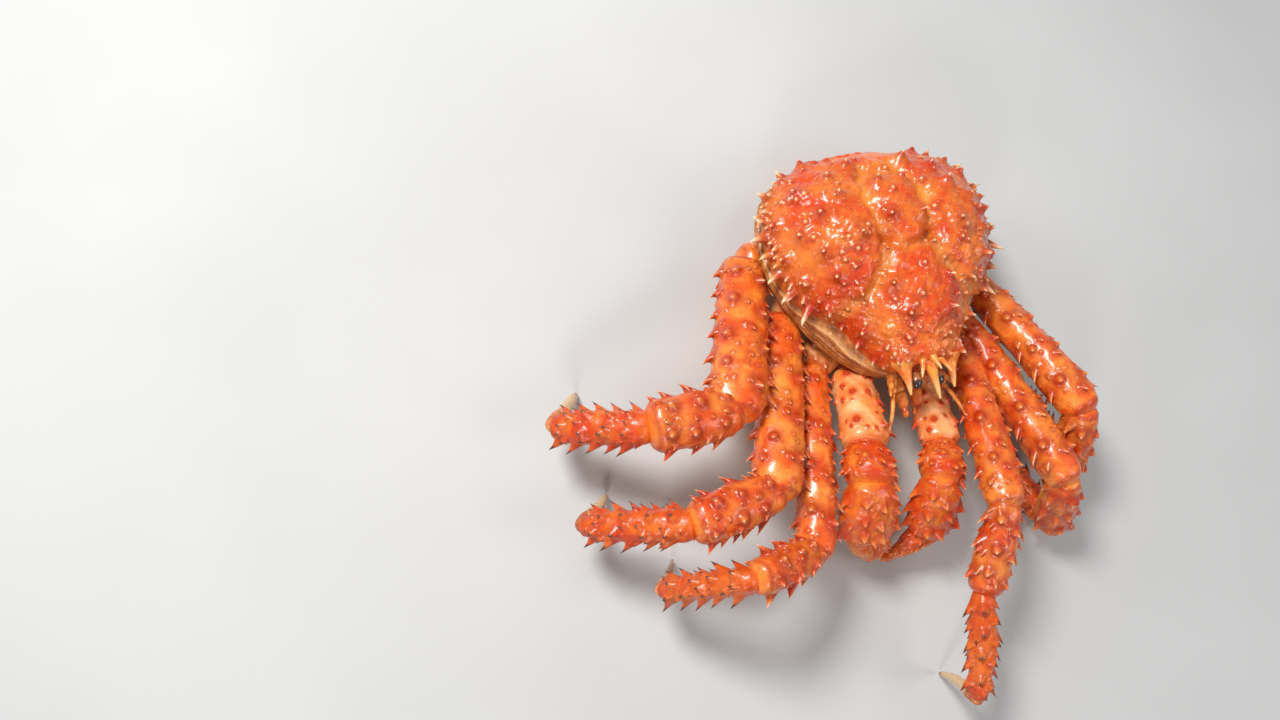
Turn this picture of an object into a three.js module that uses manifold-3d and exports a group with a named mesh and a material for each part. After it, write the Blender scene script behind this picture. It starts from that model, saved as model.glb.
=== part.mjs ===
// A boiled red king crab, life size, lying on its belly with its legs swept forward and folded.
// Millimetres, +Z up. The front points towards -Y and the crab's own left towards +X.
// The origin is on the ground under the belly.

import * as THREE from 'three';
import { mergeVertices } from 'three/addons/utils/BufferGeometryUtils.js';
import Module from 'manifold-3d';

const wasm = await Module();
wasm.setup();

// Driving dimensions
const shellWidth = 118;
const shellFront = -46;
const shellRear = 66;
const shellFloor = 31;
const gap = 0.3;

// The shell and face are twisted a little towards the crab's left, in degrees
const bodyTurn = 3.5;

// Outlines along the body, each as [y, value]
const halfWidths = [
  [-46, 14], [-43, 21], [-36, 30], [-27, 39], [-15, 47.5], [0, 54.5],
  [14, 58.4], [25, shellWidth / 2], [36, 58], [46, 54], [55, 46.5], [62, 34], [66, 18],
];
const crownHeights = [
  [-46, 60], [-40, 62.5], [-28, 65], [-10, 66.5], [15, 68], [36, 66], [50, 59], [60, 50], [66, 40],
];
const rimHeights = [[-46, 46], [-38, 44.5], [-20, 43], [-6, 39], [10, 36], [66, 34]];

// Soft flank under the rim, widest beside the front: how far it stands out past the rim
const flankWidths = [[-46, 1.5], [-40, 5], [-28, 10], [-20, 11.5], [-13, 7], [-5, 3.5], [10, 2], [66, 1.5]];

// Swellings of the back: place, half size and height
const lobes = [
  { x: 0, y: -20, wide: 20, long: 20, high: 7 },
  { x: 34, y: 17, wide: 19, long: 25, high: 9 },
  { x: -34, y: 17, wide: 19, long: 25, high: 9 },
  { x: 0, y: 24, wide: 11, long: 16, high: 5 },
];

// Trunk under the shell, as [y, half width]
const trunkWidths = [[-40, 14], [-33, 20], [-22, 25], [-8, 30], [12, 38], [27, 40], [42, 36], [55, 22]];
const trunkBottom = 6.3;
const trunkTop = shellFloor - gap;

// Belly flap folded under the trunk: [y, half width, top]. It starts below the ground, which trims it flat.
const flapBottom = -1;
const flapRings = [
  [-24, 7, 4], [-16, 17, 6], [0, 25, 6], [20, 31, 6], [40, 32, 6], [55.3, 29, 26], [61, 24, 27], [66, 15, 19],
];

// One walking leg of each pair, from the body outwards: lengths, and girth against the rings below.
// A leg that lies on its narrow edge is given a share of that girth across in its pose.
const legSizes = {
  second: { merus: 96, carpus: 44, propodus: 48, dactyl: 34, girth: 0.9 },
  third: { merus: 94, carpus: 44, propodus: 50, dactyl: 36, girth: 1 },
  fourth: { merus: 86, carpus: 42, propodus: 46, dactyl: 36, girth: 1.02 },
};
const clawSizes = {
  right: { merus: 43, carpus: 20, palm: 31, finger: 25, girth: 1.13 },
  left: { merus: 44, carpus: 20, palm: 33, finger: 26, girth: 0.96 },
};
const fingerApart = 5;
const tipShare = 0.3;
const eyeWide = 2.6;
const eyeLong = 3.8;
const eyeTurn = 8;

// Limb pieces for girth 1, each ring as [share of the length, half width, half height]
const limbRings = {
  hip: [[0, 8, 7.5], [0.4, 10, 9], [0.85, 10, 9], [1.15, 5.5, 5]],
  merus: [[0, 8, 7], [0.07, 9.6, 9], [0.5, 11, 9.6], [0.9, 11.6, 10], [1, 9.6, 8.6], [1.05, 5, 4.6]],
  carpus: [[-0.05, 6.5, 6], [0.12, 9, 8.4], [0.5, 10.6, 9.4], [0.88, 10.4, 9.2], [1.02, 7, 6.4]],
  propodus: [[-0.04, 5.4, 5], [0.12, 7, 6.5], [0.5, 6.8, 6.2], [0.85, 5.8, 5.4], [1.02, 4.2, 4]],
  dactyl: [[-0.04, 3.6, 3.4], [0.12, 4, 3.8], [0.36, 2.7, 2.6], [0.75, 1.8, 1.8], [1, 0.8, 0.8]],
};
const clawRings = {
  hip: [[0, 6, 6], [0.6, 7.4, 7], [1, 7.4, 7], [1.3, 4, 4]],
  merus: [[0, 7, 6.6], [0.12, 8.6, 8], [0.6, 9.4, 8.8], [0.94, 9.8, 9], [1.06, 5.6, 5.2]],
  carpus: [[-0.1, 6, 5.6], [0.2, 9, 8.6], [0.65, 10.8, 9.8], [1, 8.6, 8], [1.14, 5, 4.6]],
  palm: [[-0.08, 6, 5.6], [0.14, 9.6, 8.4], [0.5, 12.6, 10], [0.85, 12, 9.4], [1.04, 7.6, 6.2]],
  finger: [[-0.16, 4.6, 4.8], [0.15, 4.8, 5.2], [0.55, 3.6, 4.2], [0.85, 2.2, 2.8], [1, 0.9, 1.1]],
};

// Poses in degrees: turn is measured from straight ahead towards the crab's left, rise from level
const legPoses = {
  fourth_right: {
    hip: [-44, 20, 18], root: [-65, 20, 20], across: 1.12,
    merus: [-19, 20.5], carpus: [-86, 3], propodus: [-103.5, -33.5], dactyl: [136.5, -46],
  },
  third_right: {
    hip: [-33, -6, 18], root: [-50, -9, 19], across: 1,
    merus: [-18.5, 18.4], carpus: [-77.4, 6.4], propodus: [-99.7, -29.5], dactyl: [127, -51],
  },
  second_right: {
    hip: [-23, -23, 17], root: [-38, -34, 17], across: 0.86,
    merus: [-16, 16], carpus: [-80.5, 30], propodus: [-90.7, -48], dactyl: [129.6, -57],
  },
  fourth_left: {
    hip: [42, 4, 18], root: [58, 0, 19], across: 0.8,
    merus: [18, 22], carpus: [8, -50], propodus: [-170, -9], dactyl: [-166, -13],
  },
  third_left: {
    hip: [32, -16, 18], root: [46, -20, 19], across: 0.8,
    merus: [14, 17], carpus: [27, -57], propodus: [-155, -4], dactyl: [-160, -9],
  },
  second_left: {
    hip: [24, -22, 18], root: [41.5, -25, 19], across: 0.9,
    merus: [-8, 21.4], carpus: [-19, -17], propodus: [-11.5, -8.5], dactyl: [180, -75],
  },
};
const clawPoses = {
  right: {
    hip: [-12, -32, 17], root: [-19, -40, 18],
    merus: [-10, 24], carpus: [-19, 26], palm: [8, -40], finger: [34, -54],
  },
  left: {
    hip: [11, -34, 17], root: [18, -42, 18],
    merus: [-6, 22], carpus: [-30, 25], palm: [2, -44], finger: [-62, -26],
  },
};

// Spines: height over the surface, radius at the foot, and how far they lean towards the limb's tip
const spineSides = 5;
const spineSink = 1.6;
const groundRoom = 0.6;
const sizeSpread = 0.35;
const edgeSpine = { length: 6, radius: 2.3, lean: 0.9 };
const backSpine = { length: 3.8, radius: 1.8, lean: 0.4 };
const smallSpine = { length: 3.4, radius: 1.5, lean: 0.7 };
const rimSpine = { length: 6.6, radius: 2.3 };
const backKnob = { length: 4, radius: 3 };
const knobSpacing = 12.5;

// Pair of long spines that guards the eyes: the foot of the left one, and its form and direction
const browSpine = { foot: [12, -43, 55], angles: [-2, -2], length: 16, radius: 4 };

// Rows of spines along a limb: angle round it in degrees, 90 on top, and how many
const spineRows = {
  merus: [[0, 6, edgeSpine], [180, 6, edgeSpine], [55, 4, backSpine], [125, 4, backSpine]],
  carpus: [
    [0, 3, edgeSpine],
    [180, 3, edgeSpine],
    [60, 3, backSpine],
    [120, 3, backSpine],
    [270, 2, backSpine],
  ],
  propodus: [
    [0, 5, edgeSpine],
    [180, 5, edgeSpine],
    [60, 4, backSpine],
    [120, 4, backSpine],
    [270, 2, backSpine],
  ],
  dactyl: [[0, 1, smallSpine], [180, 1, smallSpine]],
};
const clawSpineRows = {
  merus: [[0, 2, edgeSpine], [180, 2, edgeSpine], [60, 3, backSpine], [120, 3, backSpine]],
  carpus: [[0, 3, edgeSpine], [180, 3, edgeSpine], [65, 2, backSpine], [115, 2, backSpine]],
  palm: [[0, 3, edgeSpine], [180, 3, edgeSpine], [55, 3, backSpine], [95, 3, backSpine], [135, 3, backSpine]],
};

// Colours of the pieces
const colours = {
  shell: 0xd9431d, leg: 0xdd5022, claw: 0xe26a3c, belly: 0xe2a07a, mouth: 0xc9673c, eye: 0x2a211c,
};

function material(colour, roughness = 0.38) {
  return new THREE.MeshStandardMaterial({ color: colour, roughness, metalness: 0 });
}

// A value read off an outline at a place along it
function along(outline, at, column = 1) {
  const last = outline.length - 1;
  if (at <= outline[0][0]) return outline[0][column];
  if (at >= outline[last][0]) return outline[last][column];
  const i = outline.findIndex((point) => point[0] > at) - 1;
  const span = outline[i + 1][0] - outline[i][0];
  return THREE.MathUtils.lerp(outline[i][column], outline[i + 1][column], (at - outline[i][0]) / span);
}

function heading([turn, rise]) {
  const a = THREE.MathUtils.degToRad(turn);
  const b = THREE.MathUtils.degToRad(rise);
  return new THREE.Vector3(Math.sin(a) * Math.cos(b), -Math.cos(a) * Math.cos(b), Math.sin(b));
}

// A repeatable run of numbers from 0 to 1
function drawFrom(seed) {
  let state = seed;
  return () => {
    state = (state * 1664525 + 1013904223) % 4294967296;
    return state / 4294967296;
  };
}

function manifoldOf(points, faces) {
  const vertProperties = new Float32Array(points.flatMap((p) => [p.x, p.y, p.z]));
  return new wasm.Manifold(new wasm.Mesh({ numProp: 3, vertProperties, triVerts: new Uint32Array(faces) }));
}

function solidOf(geometry) {
  geometry.deleteAttribute('normal');
  geometry.deleteAttribute('uv');
  const merged = mergeVertices(geometry, 1e-4);
  const place = merged.attributes.position;
  const points = [];
  for (let i = 0; i < place.count; i += 1) points.push(new THREE.Vector3().fromBufferAttribute(place, i));
  return manifoldOf(points, Array.from(merged.index.array));
}

function geometryOf(solid) {
  const mesh = solid.getMesh();
  const geometry = new THREE.BufferGeometry();
  geometry.setAttribute('position', new THREE.BufferAttribute(mesh.vertProperties.slice(), 3));
  geometry.setIndex(new THREE.BufferAttribute(mesh.triVerts.slice(), 1));
  geometry.computeVertexNormals();
  return geometry;
}

// Closed solid through rings of equal count, with a fan on each end
function loft(rings) {
  const sides = rings[0].length;
  const centre = (ring) => ring.reduce((sum, p) => sum.add(p), new THREE.Vector3()).divideScalar(sides);
  const points = [...rings.flat(), centre(rings[0]), centre(rings[rings.length - 1])];
  const first = points.length - 2;
  const last = points.length - 1;
  const end = (rings.length - 1) * sides;
  const faces = [];
  for (let s = 0; s < sides; s += 1) {
    const next = (s + 1) % sides;
    for (let r = 0; r < end; r += sides) {
      faces.push(r + s, r + next, r + next + sides, r + s, r + next + sides, r + s + sides);
    }
    faces.push(first, next, s, last, end + s, end + next);
  }
  const solid = manifoldOf(points, faces);
  return solid.volume() < 0 ? manifoldOf(points, faces.toReversed()) : solid;
}

function meet(a, b) {
  const p = a.boundingBox();
  const q = b.boundingBox();
  return [0, 1, 2].every((i) => p.min[i] < q.max[i] && q.min[i] < p.max[i]) && !a.intersect(b).isEmpty();
}

function largestOf(solid) {
  return solid.decompose().reduce((best, body) => (body.volume() > best.volume() ? body : best));
}

// One point of the shell at y; s runs across from rim to rim, -1 to 1
function shellPoint(y, s, grow = 0) {
  const angle = s * Math.PI / 2;
  const x = (along(halfWidths, y) - along(flankWidths, y) + grow) * Math.sin(angle);
  const rim = along(rimHeights, y);
  const arch = Math.cos(angle) ** 0.8;
  let z = rim + (along(crownHeights, y) + grow - rim) * arch;
  for (const lobe of lobes) {
    const far = ((x - lobe.x) / lobe.wide) ** 2 + ((y - lobe.y) / lobe.long) ** 2;
    z += lobe.high * Math.exp(-far) * arch;
  }
  return new THREE.Vector3(x, y, z);
}

function shellNormal(y, s) {
  const step = 0.02;
  const across = shellPoint(y, s + step).sub(shellPoint(y, s - step));
  const lengthwise = shellPoint(y + 1, s).sub(shellPoint(y - 1, s));
  return across.cross(lengthwise).normalize();
}

function shellShape(grow) {
  const stations = 17;
  const across = 16;
  const rings = [];
  for (let i = 0; i < stations; i += 1) {
    const y = THREE.MathUtils.lerp(shellFront, shellRear, (1 - Math.cos(Math.PI * i / (stations - 1))) / 2);
    const ring = [];
    for (let j = 0; j <= across; j += 1) ring.push(shellPoint(y, 2 * j / across - 1, grow));
    const x = along(halfWidths, y) + grow;
    ring.push(new THREE.Vector3(x, y, shellFloor - grow), new THREE.Vector3(-x, y, shellFloor - grow));
    const shift = i === 0 ? -grow : i === stations - 1 ? grow : 0;
    rings.push(ring.map((p) => p.setY(p.y + shift)));
  }
  return loft(rings);
}

// Loft along the body between two heights, flat above and below, with rounded sides
function slab(outline, bottom, topAt, grow) {
  const sides = 12;
  const flatness = Math.cos(Math.PI / sides) ** 0.35;
  const bulge = (value, power) => Math.sign(value) * Math.abs(value) ** power;
  return loft(outline.map(([y, half], i) => {
    const middle = (topAt(i) + bottom) / 2;
    const reach = (topAt(i) - bottom) / 2 + grow;
    const shift = i === 0 ? -grow : i === outline.length - 1 ? grow : 0;
    const ring = [];
    for (let s = 0; s < sides; s += 1) {
      const a = (s + 0.5) * 2 * Math.PI / sides;
      const x = bulge(Math.cos(a), 0.6) * (half + grow);
      ring.push(new THREE.Vector3(x, y + shift, middle + bulge(Math.sin(a), 0.35) * reach / flatness));
    }
    return ring;
  }));
}

// A limb piece on a line that bows upwards, with rings as in limbRings
class Limb {
  constructor(start, direction, length, rings, bow = 0, sides = 8) {
    Object.assign(this, { start, direction, length, rings, bow, sides });
    this.side = new THREE.Vector3().crossVectors(direction, new THREE.Vector3(0, 0, 1)).normalize();
    this.up = new THREE.Vector3().crossVectors(this.side, direction);
    this.end = this.centre(1);
  }

  centre(t) {
    const bend = this.bow * Math.sin(Math.PI * t);
    return this.start.clone().addScaledVector(this.direction, this.length * t).addScaledVector(this.up, bend);
  }

  surface(t, angle, grow = 0) {
    const wide = (along(this.rings, t, 1) + grow) * Math.cos(angle);
    const high = (along(this.rings, t, 2) + grow) * Math.sin(angle);
    return this.centre(t).addScaledVector(this.side, wide).addScaledVector(this.up, high);
  }

  shape(grow) {
    return loft(this.rings.map(([t], i) => {
      const shift = i === 0 ? -grow : i === this.rings.length - 1 ? grow : 0;
      const ring = [];
      for (let s = 0; s < this.sides; s += 1) {
        ring.push(this.surface(t, 2 * Math.PI * s / this.sides, grow).addScaledVector(this.direction, shift));
      }
      return ring;
    }));
  }

  // Spines in rows, staggered from row to row and varied a little in place and size
  spines(rows, seed) {
    const draw = drawFrom(seed);
    const spines = [];
    rows.forEach(([degrees, count, form], row) => {
      for (let k = 0; k < count; k += 1) {
        const t = 0.06 + 0.88 * (k + 0.35 + 0.3 * (row % 2) + 0.25 * (draw() - 0.5)) / count;
        const angle = THREE.MathUtils.degToRad(degrees + 14 * (draw() - 0.5));
        const direction = this.direction.clone().multiplyScalar(form.lean)
          .addScaledVector(this.side, Math.cos(angle))
          .addScaledVector(this.up, Math.sin(angle)).normalize();
        const size = 1 + sizeSpread * (draw() - 0.5);
        const root = this.surface(t, angle);
        spines.push({ root, direction, length: form.length * size, radius: form.radius * size });
      }
    });
    return spines;
  }
}

function spineSolid({ root, direction, length, radius }, grow) {
  const height = length + spineSink + grow;
  const cone = new THREE.ConeGeometry(radius + grow, height, spineSides);
  cone.translate(0, height / 2 - spineSink, 0);
  cone.applyQuaternion(new THREE.Quaternion().setFromUnitVectors(new THREE.Vector3(0, 1, 0), direction));
  return solidOf(cone.translate(root.x, root.y, root.z));
}

// Spines of the shell: a row on each rim, and knobs spread over the back alike on both sides
function shellSpines() {
  const draw = drawFrom(7);
  const spines = [];
  const add = (y, s, form) => {
    const size = 1 + sizeSpread * (draw() - 0.5);
    const direction = shellNormal(y, s);
    const [length, radius] = [form.length * size, form.radius * size];
    spines.push({ root: shellPoint(y, s), direction, length, radius });
  };
  const rimCount = 11;
  for (let k = 0; k < rimCount; k += 1) {
    const y = THREE.MathUtils.lerp(shellFront + 7, shellRear - 7, k / (rimCount - 1));
    add(y, 0.93, rimSpine);
    add(y + 1.5 * (draw() - 0.5), -0.93, rimSpine);
  }
  for (const sign of [-1, 1]) {
    const [x, y, z] = browSpine.foot;
    const [turn, rise] = browSpine.angles;
    const root = new THREE.Vector3(sign * x, y, z);
    spines.push({ ...browSpine, root, direction: heading([sign * turn, rise]) });
  }
  const tries = 900;
  const knobs = [];
  for (let k = 0; k < tries; k += 1) {
    const y = THREE.MathUtils.lerp(shellFront + 4, shellRear - 4, draw());
    const s = draw() * 0.8;
    const here = shellPoint(y, s);
    const mirrored = here.x < knobSpacing / 2 && here.x > 0.01;
    if (!mirrored && knobs.every((p) => p.distanceTo(here) > knobSpacing)) {
      knobs.push(here);
      add(y, s, backKnob);
      add(y, -s, backKnob);
    }
  }
  return spines;
}

// The shell and all that sits on it, turned together
function turned(solid) {
  return solid.rotate([0, 0, bodyTurn]);
}

function turnedSpine(spine) {
  const up = new THREE.Vector3(0, 0, 1);
  const angle = THREE.MathUtils.degToRad(bodyTurn);
  const direction = spine.direction.clone().applyAxisAngle(up, angle);
  return { ...spine, direction, root: spine.root.clone().applyAxisAngle(up, angle) };
}

const pieces = [];

// shape(grow) gives the bare solid swollen by grow; the spines stand on it
function define(name, look, shape, spines = []) {
  pieces.push({ name, look, shape, spines });
}

// Hip, then the steps out to the tip, each starting where the last one ends
function limbChain(pose, sizes, names, rings, bows) {
  const root = new THREE.Vector3(...pose.root);
  const hip = new THREE.Vector3(...pose.hip);
  const outward = root.clone().sub(hip);
  const wideGirth = sizes.girth * (pose.across ?? 1);
  const scaled = (name) => rings[name].map(([t, wide, high]) => [t, wide * wideGirth, high * sizes.girth]);
  const chain = { hip: new Limb(hip, outward.clone().normalize(), outward.length(), rings.hip) };
  let start = root;
  for (const name of names) {
    chain[name] = new Limb(start, heading(pose[name]), sizes[name], scaled(name), bows[name] ?? 0);
    start = chain[name].end;
  }
  return chain;
}

function defineLegs() {
  const names = ['merus', 'carpus', 'propodus', 'dactyl'];
  const bows = { merus: 1.5, carpus: 0.6, propodus: 0.8, dactyl: 2.4 };
  Object.entries(legPoses).forEach(([key, pose], number) => {
    const chain = limbChain(pose, legSizes[key.split('_')[0]], names, limbRings, bows);
    Object.entries(chain).forEach(([name, limb], step) => {
      const spines = spineRows[name] ? limb.spines(spineRows[name], 100 * number + 10 * step + 3) : [];
      define(`leg_${key}_${name}`, material(colours.leg), (grow) => limb.shape(grow), spines);
    });
  });
}

// Both fingers leave the end of the palm side by side and close on each other at the tip
function fingerLimb(palm, direction, sizes, apart) {
  const start = palm.end.clone().addScaledVector(palm.side, apart * sizes.girth);
  const tip = palm.end.clone().addScaledVector(direction, sizes.finger);
  tip.addScaledVector(palm.side, apart * tipShare);
  const line = tip.sub(start);
  const rings = clawRings.finger.map(([t, wide, high]) => [t, wide * sizes.girth, high * sizes.girth]);
  return new Limb(start, line.clone().normalize(), line.length(), rings, 1.2);
}

function defineClaws() {
  const names = ['merus', 'carpus', 'palm'];
  Object.entries(clawPoses).forEach(([key, pose], number) => {
    const chain = limbChain(pose, clawSizes[key], names, clawRings, { merus: 1 });
    const inner = key === 'right' ? fingerApart : -fingerApart;
    const fixed = fingerLimb(chain.palm, heading(pose.finger), clawSizes[key], -inner);
    const moving = fingerLimb(chain.palm, heading(pose.finger), clawSizes[key], inner);
    Object.entries(chain).forEach(([name, limb], step) => {
      const spines = clawSpineRows[name] ? limb.spines(clawSpineRows[name], 50 * number + 7 * step + 5) : [];
      const bare = (grow) => (name === 'palm' ? limb.shape(grow).add(fixed.shape(grow)) : limb.shape(grow));
      define(`claw_${key}_${name}`, material(colours.claw), bare, spines);
    });
    define(`claw_${key}_finger`, material(colours.claw), (grow) => moving.shape(grow));
  });
}

// Beak between the eyes: a main spine that rises forwards, one above it and one on each side
function rostrumShape(grow) {
  const spike = (place, angles, length, radius) => {
    const rings = [[0, radius, radius], [0.5, radius * 0.62, radius * 0.62], [1, 0.5, 0.5]];
    return new Limb(new THREE.Vector3(...place), heading(angles), length, rings, 0.4, 6).shape(grow);
  };
  const beak = spike([0, -41.5, 57], [0, 5], 22, 4.2)
    .add(spike([0, -42, 60], [0, 38], 11, 2.6))
    .add(spike([3.2, -42, 59], [24, 14], 12, 2.3))
    .add(spike([-3.2, -42, 59], [-24, 14], 12, 2.3));
  return turned(beak);
}

// Stalks, eyes, feelers and mouth parts sit on the flat face under the beak, as a mirrored pair
function defineFace() {
  const round = (list) => list.map(([t, radius]) => [t, radius, radius]);
  for (const [side, sign] of [['right', -1], ['left', 1]]) {
    const limb = ([x, y, z], [turn, rise], length, rings, bow = 0, sides = 6) => {
      const start = new THREE.Vector3(sign * x, y, z);
      return new Limb(start, heading([sign * turn, rise]), length, round(rings), bow, sides);
    };
    const stalk = limb([4.6, -44.5, 51], [eyeTurn, 8], 6.5, [[0, 2.3], [0.6, 2], [1, 2.2]]);
    const stem = limb([10.5, -43, 41], [14, 4], 13, [[0, 2.8], [0.5, 2.5], [1, 1.7]]);
    const scale = limb([12, -48, 42], [30, 20], 11, [[0, 1.8], [0.5, 1.2], [1, 0.4]], 0, 5);
    const whipRings = [[-0.02, 1.1], [0.2, 1], [0.4, 0.9], [0.6, 0.8], [0.8, 0.65], [1, 0.35]];
    const tip = stem.end;
    const whip = limb([sign * tip.x, tip.y, tip.z], [22, 2], 18, whipRings, 1.5);
    const small = limb([3.6, -45.4, 44], [8, -4], 11, [[0, 1.5], [0.5, 1.2], [1, 0.6]], 0.8);
    const jaw = limb([4.4, -38, 24], [-1, 14], 30, [[0, 3], [0.3, 3.4], [0.7, 3], [1, 1.4]], 3);
    define(`eyestalk_${side}`, material(colours.mouth), (grow) => turned(stalk.shape(grow)));
    define(`eye_${side}`, material(colours.eye, 0.15), (grow) => {
      const ball = new THREE.SphereGeometry(1, 10, 8).scale(eyeWide + grow, eyeLong + grow, eyeWide + grow);
      ball.rotateZ(THREE.MathUtils.degToRad(sign * eyeTurn));
      return turned(solidOf(ball.translate(...stalk.centre(1.3).toArray())));
    });
    const feelerFoot = (grow) => stem.shape(grow).add(scale.shape(grow));
    define(`antenna_${side}_stem`, material(colours.mouth), (grow) => turned(feelerFoot(grow)));
    define(`antenna_${side}_whip`, material(colours.mouth), (grow) => turned(whip.shape(grow)));
    define(`antennule_${side}`, material(colours.mouth), (grow) => turned(small.shape(grow)));
    define(`mouthpart_${side}`, material(colours.mouth), (grow) => turned(jaw.shape(grow)));
  }
}

// Everything below the ground plane, to trim what would sink into it
function groundSolid() {
  const size = 900;
  return solidOf(new THREE.BoxGeometry(size, size, size).translate(0, 0, -size / 2));
}

// Builds the pieces in order. A spine that would meet another piece or the ground is left out,
// and each piece is cut clear of those before it.
function assemble() {
  const group = new THREE.Group();
  const ground = groundSolid();
  const bare = pieces.map((piece) => piece.shape(gap));
  const placed = [];
  pieces.forEach(({ name, look, shape, spines }, number) => {
    const kept = spines.filter((spine) => {
      const swollen = spineSolid(spine, gap);
      const high = swollen.boundingBox().min[2] > groundRoom;
      return high && bare.every((other, i) => i === number || !meet(swollen, other));
    });
    let solid = wasm.Manifold.union([shape(0), ...kept.map((spine) => spineSolid(spine, 0))]);
    for (const other of placed) {
      if (meet(solid, other)) solid = solid.subtract(other);
    }
    if (solid.boundingBox().min[2] < 0) solid = solid.subtract(ground);
    placed.push(wasm.Manifold.union([bare[number], ...kept.map((spine) => spineSolid(spine, gap))]));
    const mesh = new THREE.Mesh(geometryOf(largestOf(solid)), look);
    mesh.name = name;
    group.add(mesh);
  });
  return group;
}

const shellSkin = (grow) => turned(shellShape(grow));
define('carapace', material(colours.shell), shellSkin, shellSpines().map(turnedSpine));
const trunk = (grow) => slab(trunkWidths, trunkBottom, () => trunkTop, grow);
define('thorax', material(colours.belly, 0.5), trunk);
const flap = (grow) => slab(flapRings, flapBottom, (i) => flapRings[i][2], grow);
define('abdomen', material(colours.belly, 0.5), flap);
defineLegs();
defineClaws();
define('rostrum', material(colours.shell), rostrumShape);
defineFace();

const crab = assemble();
export default crab;
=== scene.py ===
import math

import bpy
import numpy as np
from mathutils import Matrix, Vector


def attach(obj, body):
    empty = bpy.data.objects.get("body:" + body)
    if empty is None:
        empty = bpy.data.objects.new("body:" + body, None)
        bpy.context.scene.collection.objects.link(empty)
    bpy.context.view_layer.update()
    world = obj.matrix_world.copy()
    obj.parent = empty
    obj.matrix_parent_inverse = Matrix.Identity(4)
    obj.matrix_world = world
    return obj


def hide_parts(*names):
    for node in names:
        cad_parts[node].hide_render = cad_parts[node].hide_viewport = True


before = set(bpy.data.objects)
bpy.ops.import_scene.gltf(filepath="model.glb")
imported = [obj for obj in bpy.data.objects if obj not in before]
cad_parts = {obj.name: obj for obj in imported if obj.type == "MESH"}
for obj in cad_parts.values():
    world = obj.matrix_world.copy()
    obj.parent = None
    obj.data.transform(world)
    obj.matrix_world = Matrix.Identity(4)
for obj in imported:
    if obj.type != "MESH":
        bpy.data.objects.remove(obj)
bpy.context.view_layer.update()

mm = 0.001
fineness = 0.43
floorRoom = 0.15
print("frame loaded")


def unit(vector):
    vector = np.asarray(vector, float)
    return vector / np.linalg.norm(vector)


def smoothStep(value, low, high):
    share = np.clip((value - low) / (high - low), 0, 1)
    return share * share * (3 - 2 * share)


def straight(table, at, column=1):
    return np.interp(at, [row[0] for row in table], [row[column] for row in table])


# curve through a table without overshoot
def curved(table, at, column=1):
    xs = np.array([row[0] for row in table], float)
    ys = np.array([row[column] for row in table], float)
    steps = np.diff(xs)
    rises = np.diff(ys) / steps
    slopes = np.empty(len(xs))
    slopes[0], slopes[-1] = rises[0], rises[-1]
    for i in range(1, len(xs) - 1):
        before, after = rises[i - 1], rises[i]
        slopes[i] = 0 if before * after <= 0 else 2 * before * after / (before + after)
    at = np.clip(np.asarray(at, float), xs[0], xs[-1])
    i = np.clip(np.searchsorted(xs, at, side="right") - 1, 0, len(steps) - 1)
    t = (at - xs[i]) / steps[i]
    return ((2 * t**3 - 3 * t**2 + 1) * ys[i] + (t**3 - 2 * t**2 + t) * steps[i] * slopes[i]
            + (3 * t**2 - 2 * t**3) * ys[i + 1] + (t**3 - t**2) * steps[i] * slopes[i + 1])


def bell(distance, width):
    return np.exp(-((distance / width) ** 2))


# a section drawn with a power under 1 is squarer than a round one
def squarer(value, power):
    return np.sign(value) * np.abs(value) ** power


def gridOf(x, y, z):
    return np.stack(np.broadcast_arrays(x, y, z), axis=2)


def roundRings(table, radius=1):
    return [[t, radius * share, radius * share] for t, share in table]


def heading(angles):
    turn, rise = np.radians(angles)
    return np.array([math.sin(turn) * math.cos(rise), -math.cos(turn) * math.cos(rise), math.sin(rise)])


# same run of numbers as the solids use, so the main spines stand in the same places
def drawFrom(seed):
    state = seed
    while True:
        state = (state * 1664525 + 1013904223) % 4294967296
        yield state / 4294967296


# soft unevenness of a grown surface, from a few waves in space
def lumps(points, seed, size, height):
    rng = np.random.default_rng(seed)
    total = np.zeros(points.shape[:-1])
    for _ in range(7):
        wave = unit(rng.normal(size=3)) * 2 * math.pi / (size * rng.uniform(0.6, 1.6))
        total += np.sin(points @ wave + rng.uniform(0, 6.28))
    return total * height / 3


spineForm = {
    # how far out a spine works the skin and how wide the dark of its foot is, both in its own radii
    "window": 3.2, "haloWidth": 1.7,
    # how much of that dark its tip takes away, and the tip mark under which a place is still free
    "haloLoss": 0.6, "free": 0.02,
    # room a spine keeps to the floor and to other limbs, and to the shell
    "room": 0.6, "shellRoom": 0.5,
}


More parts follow.
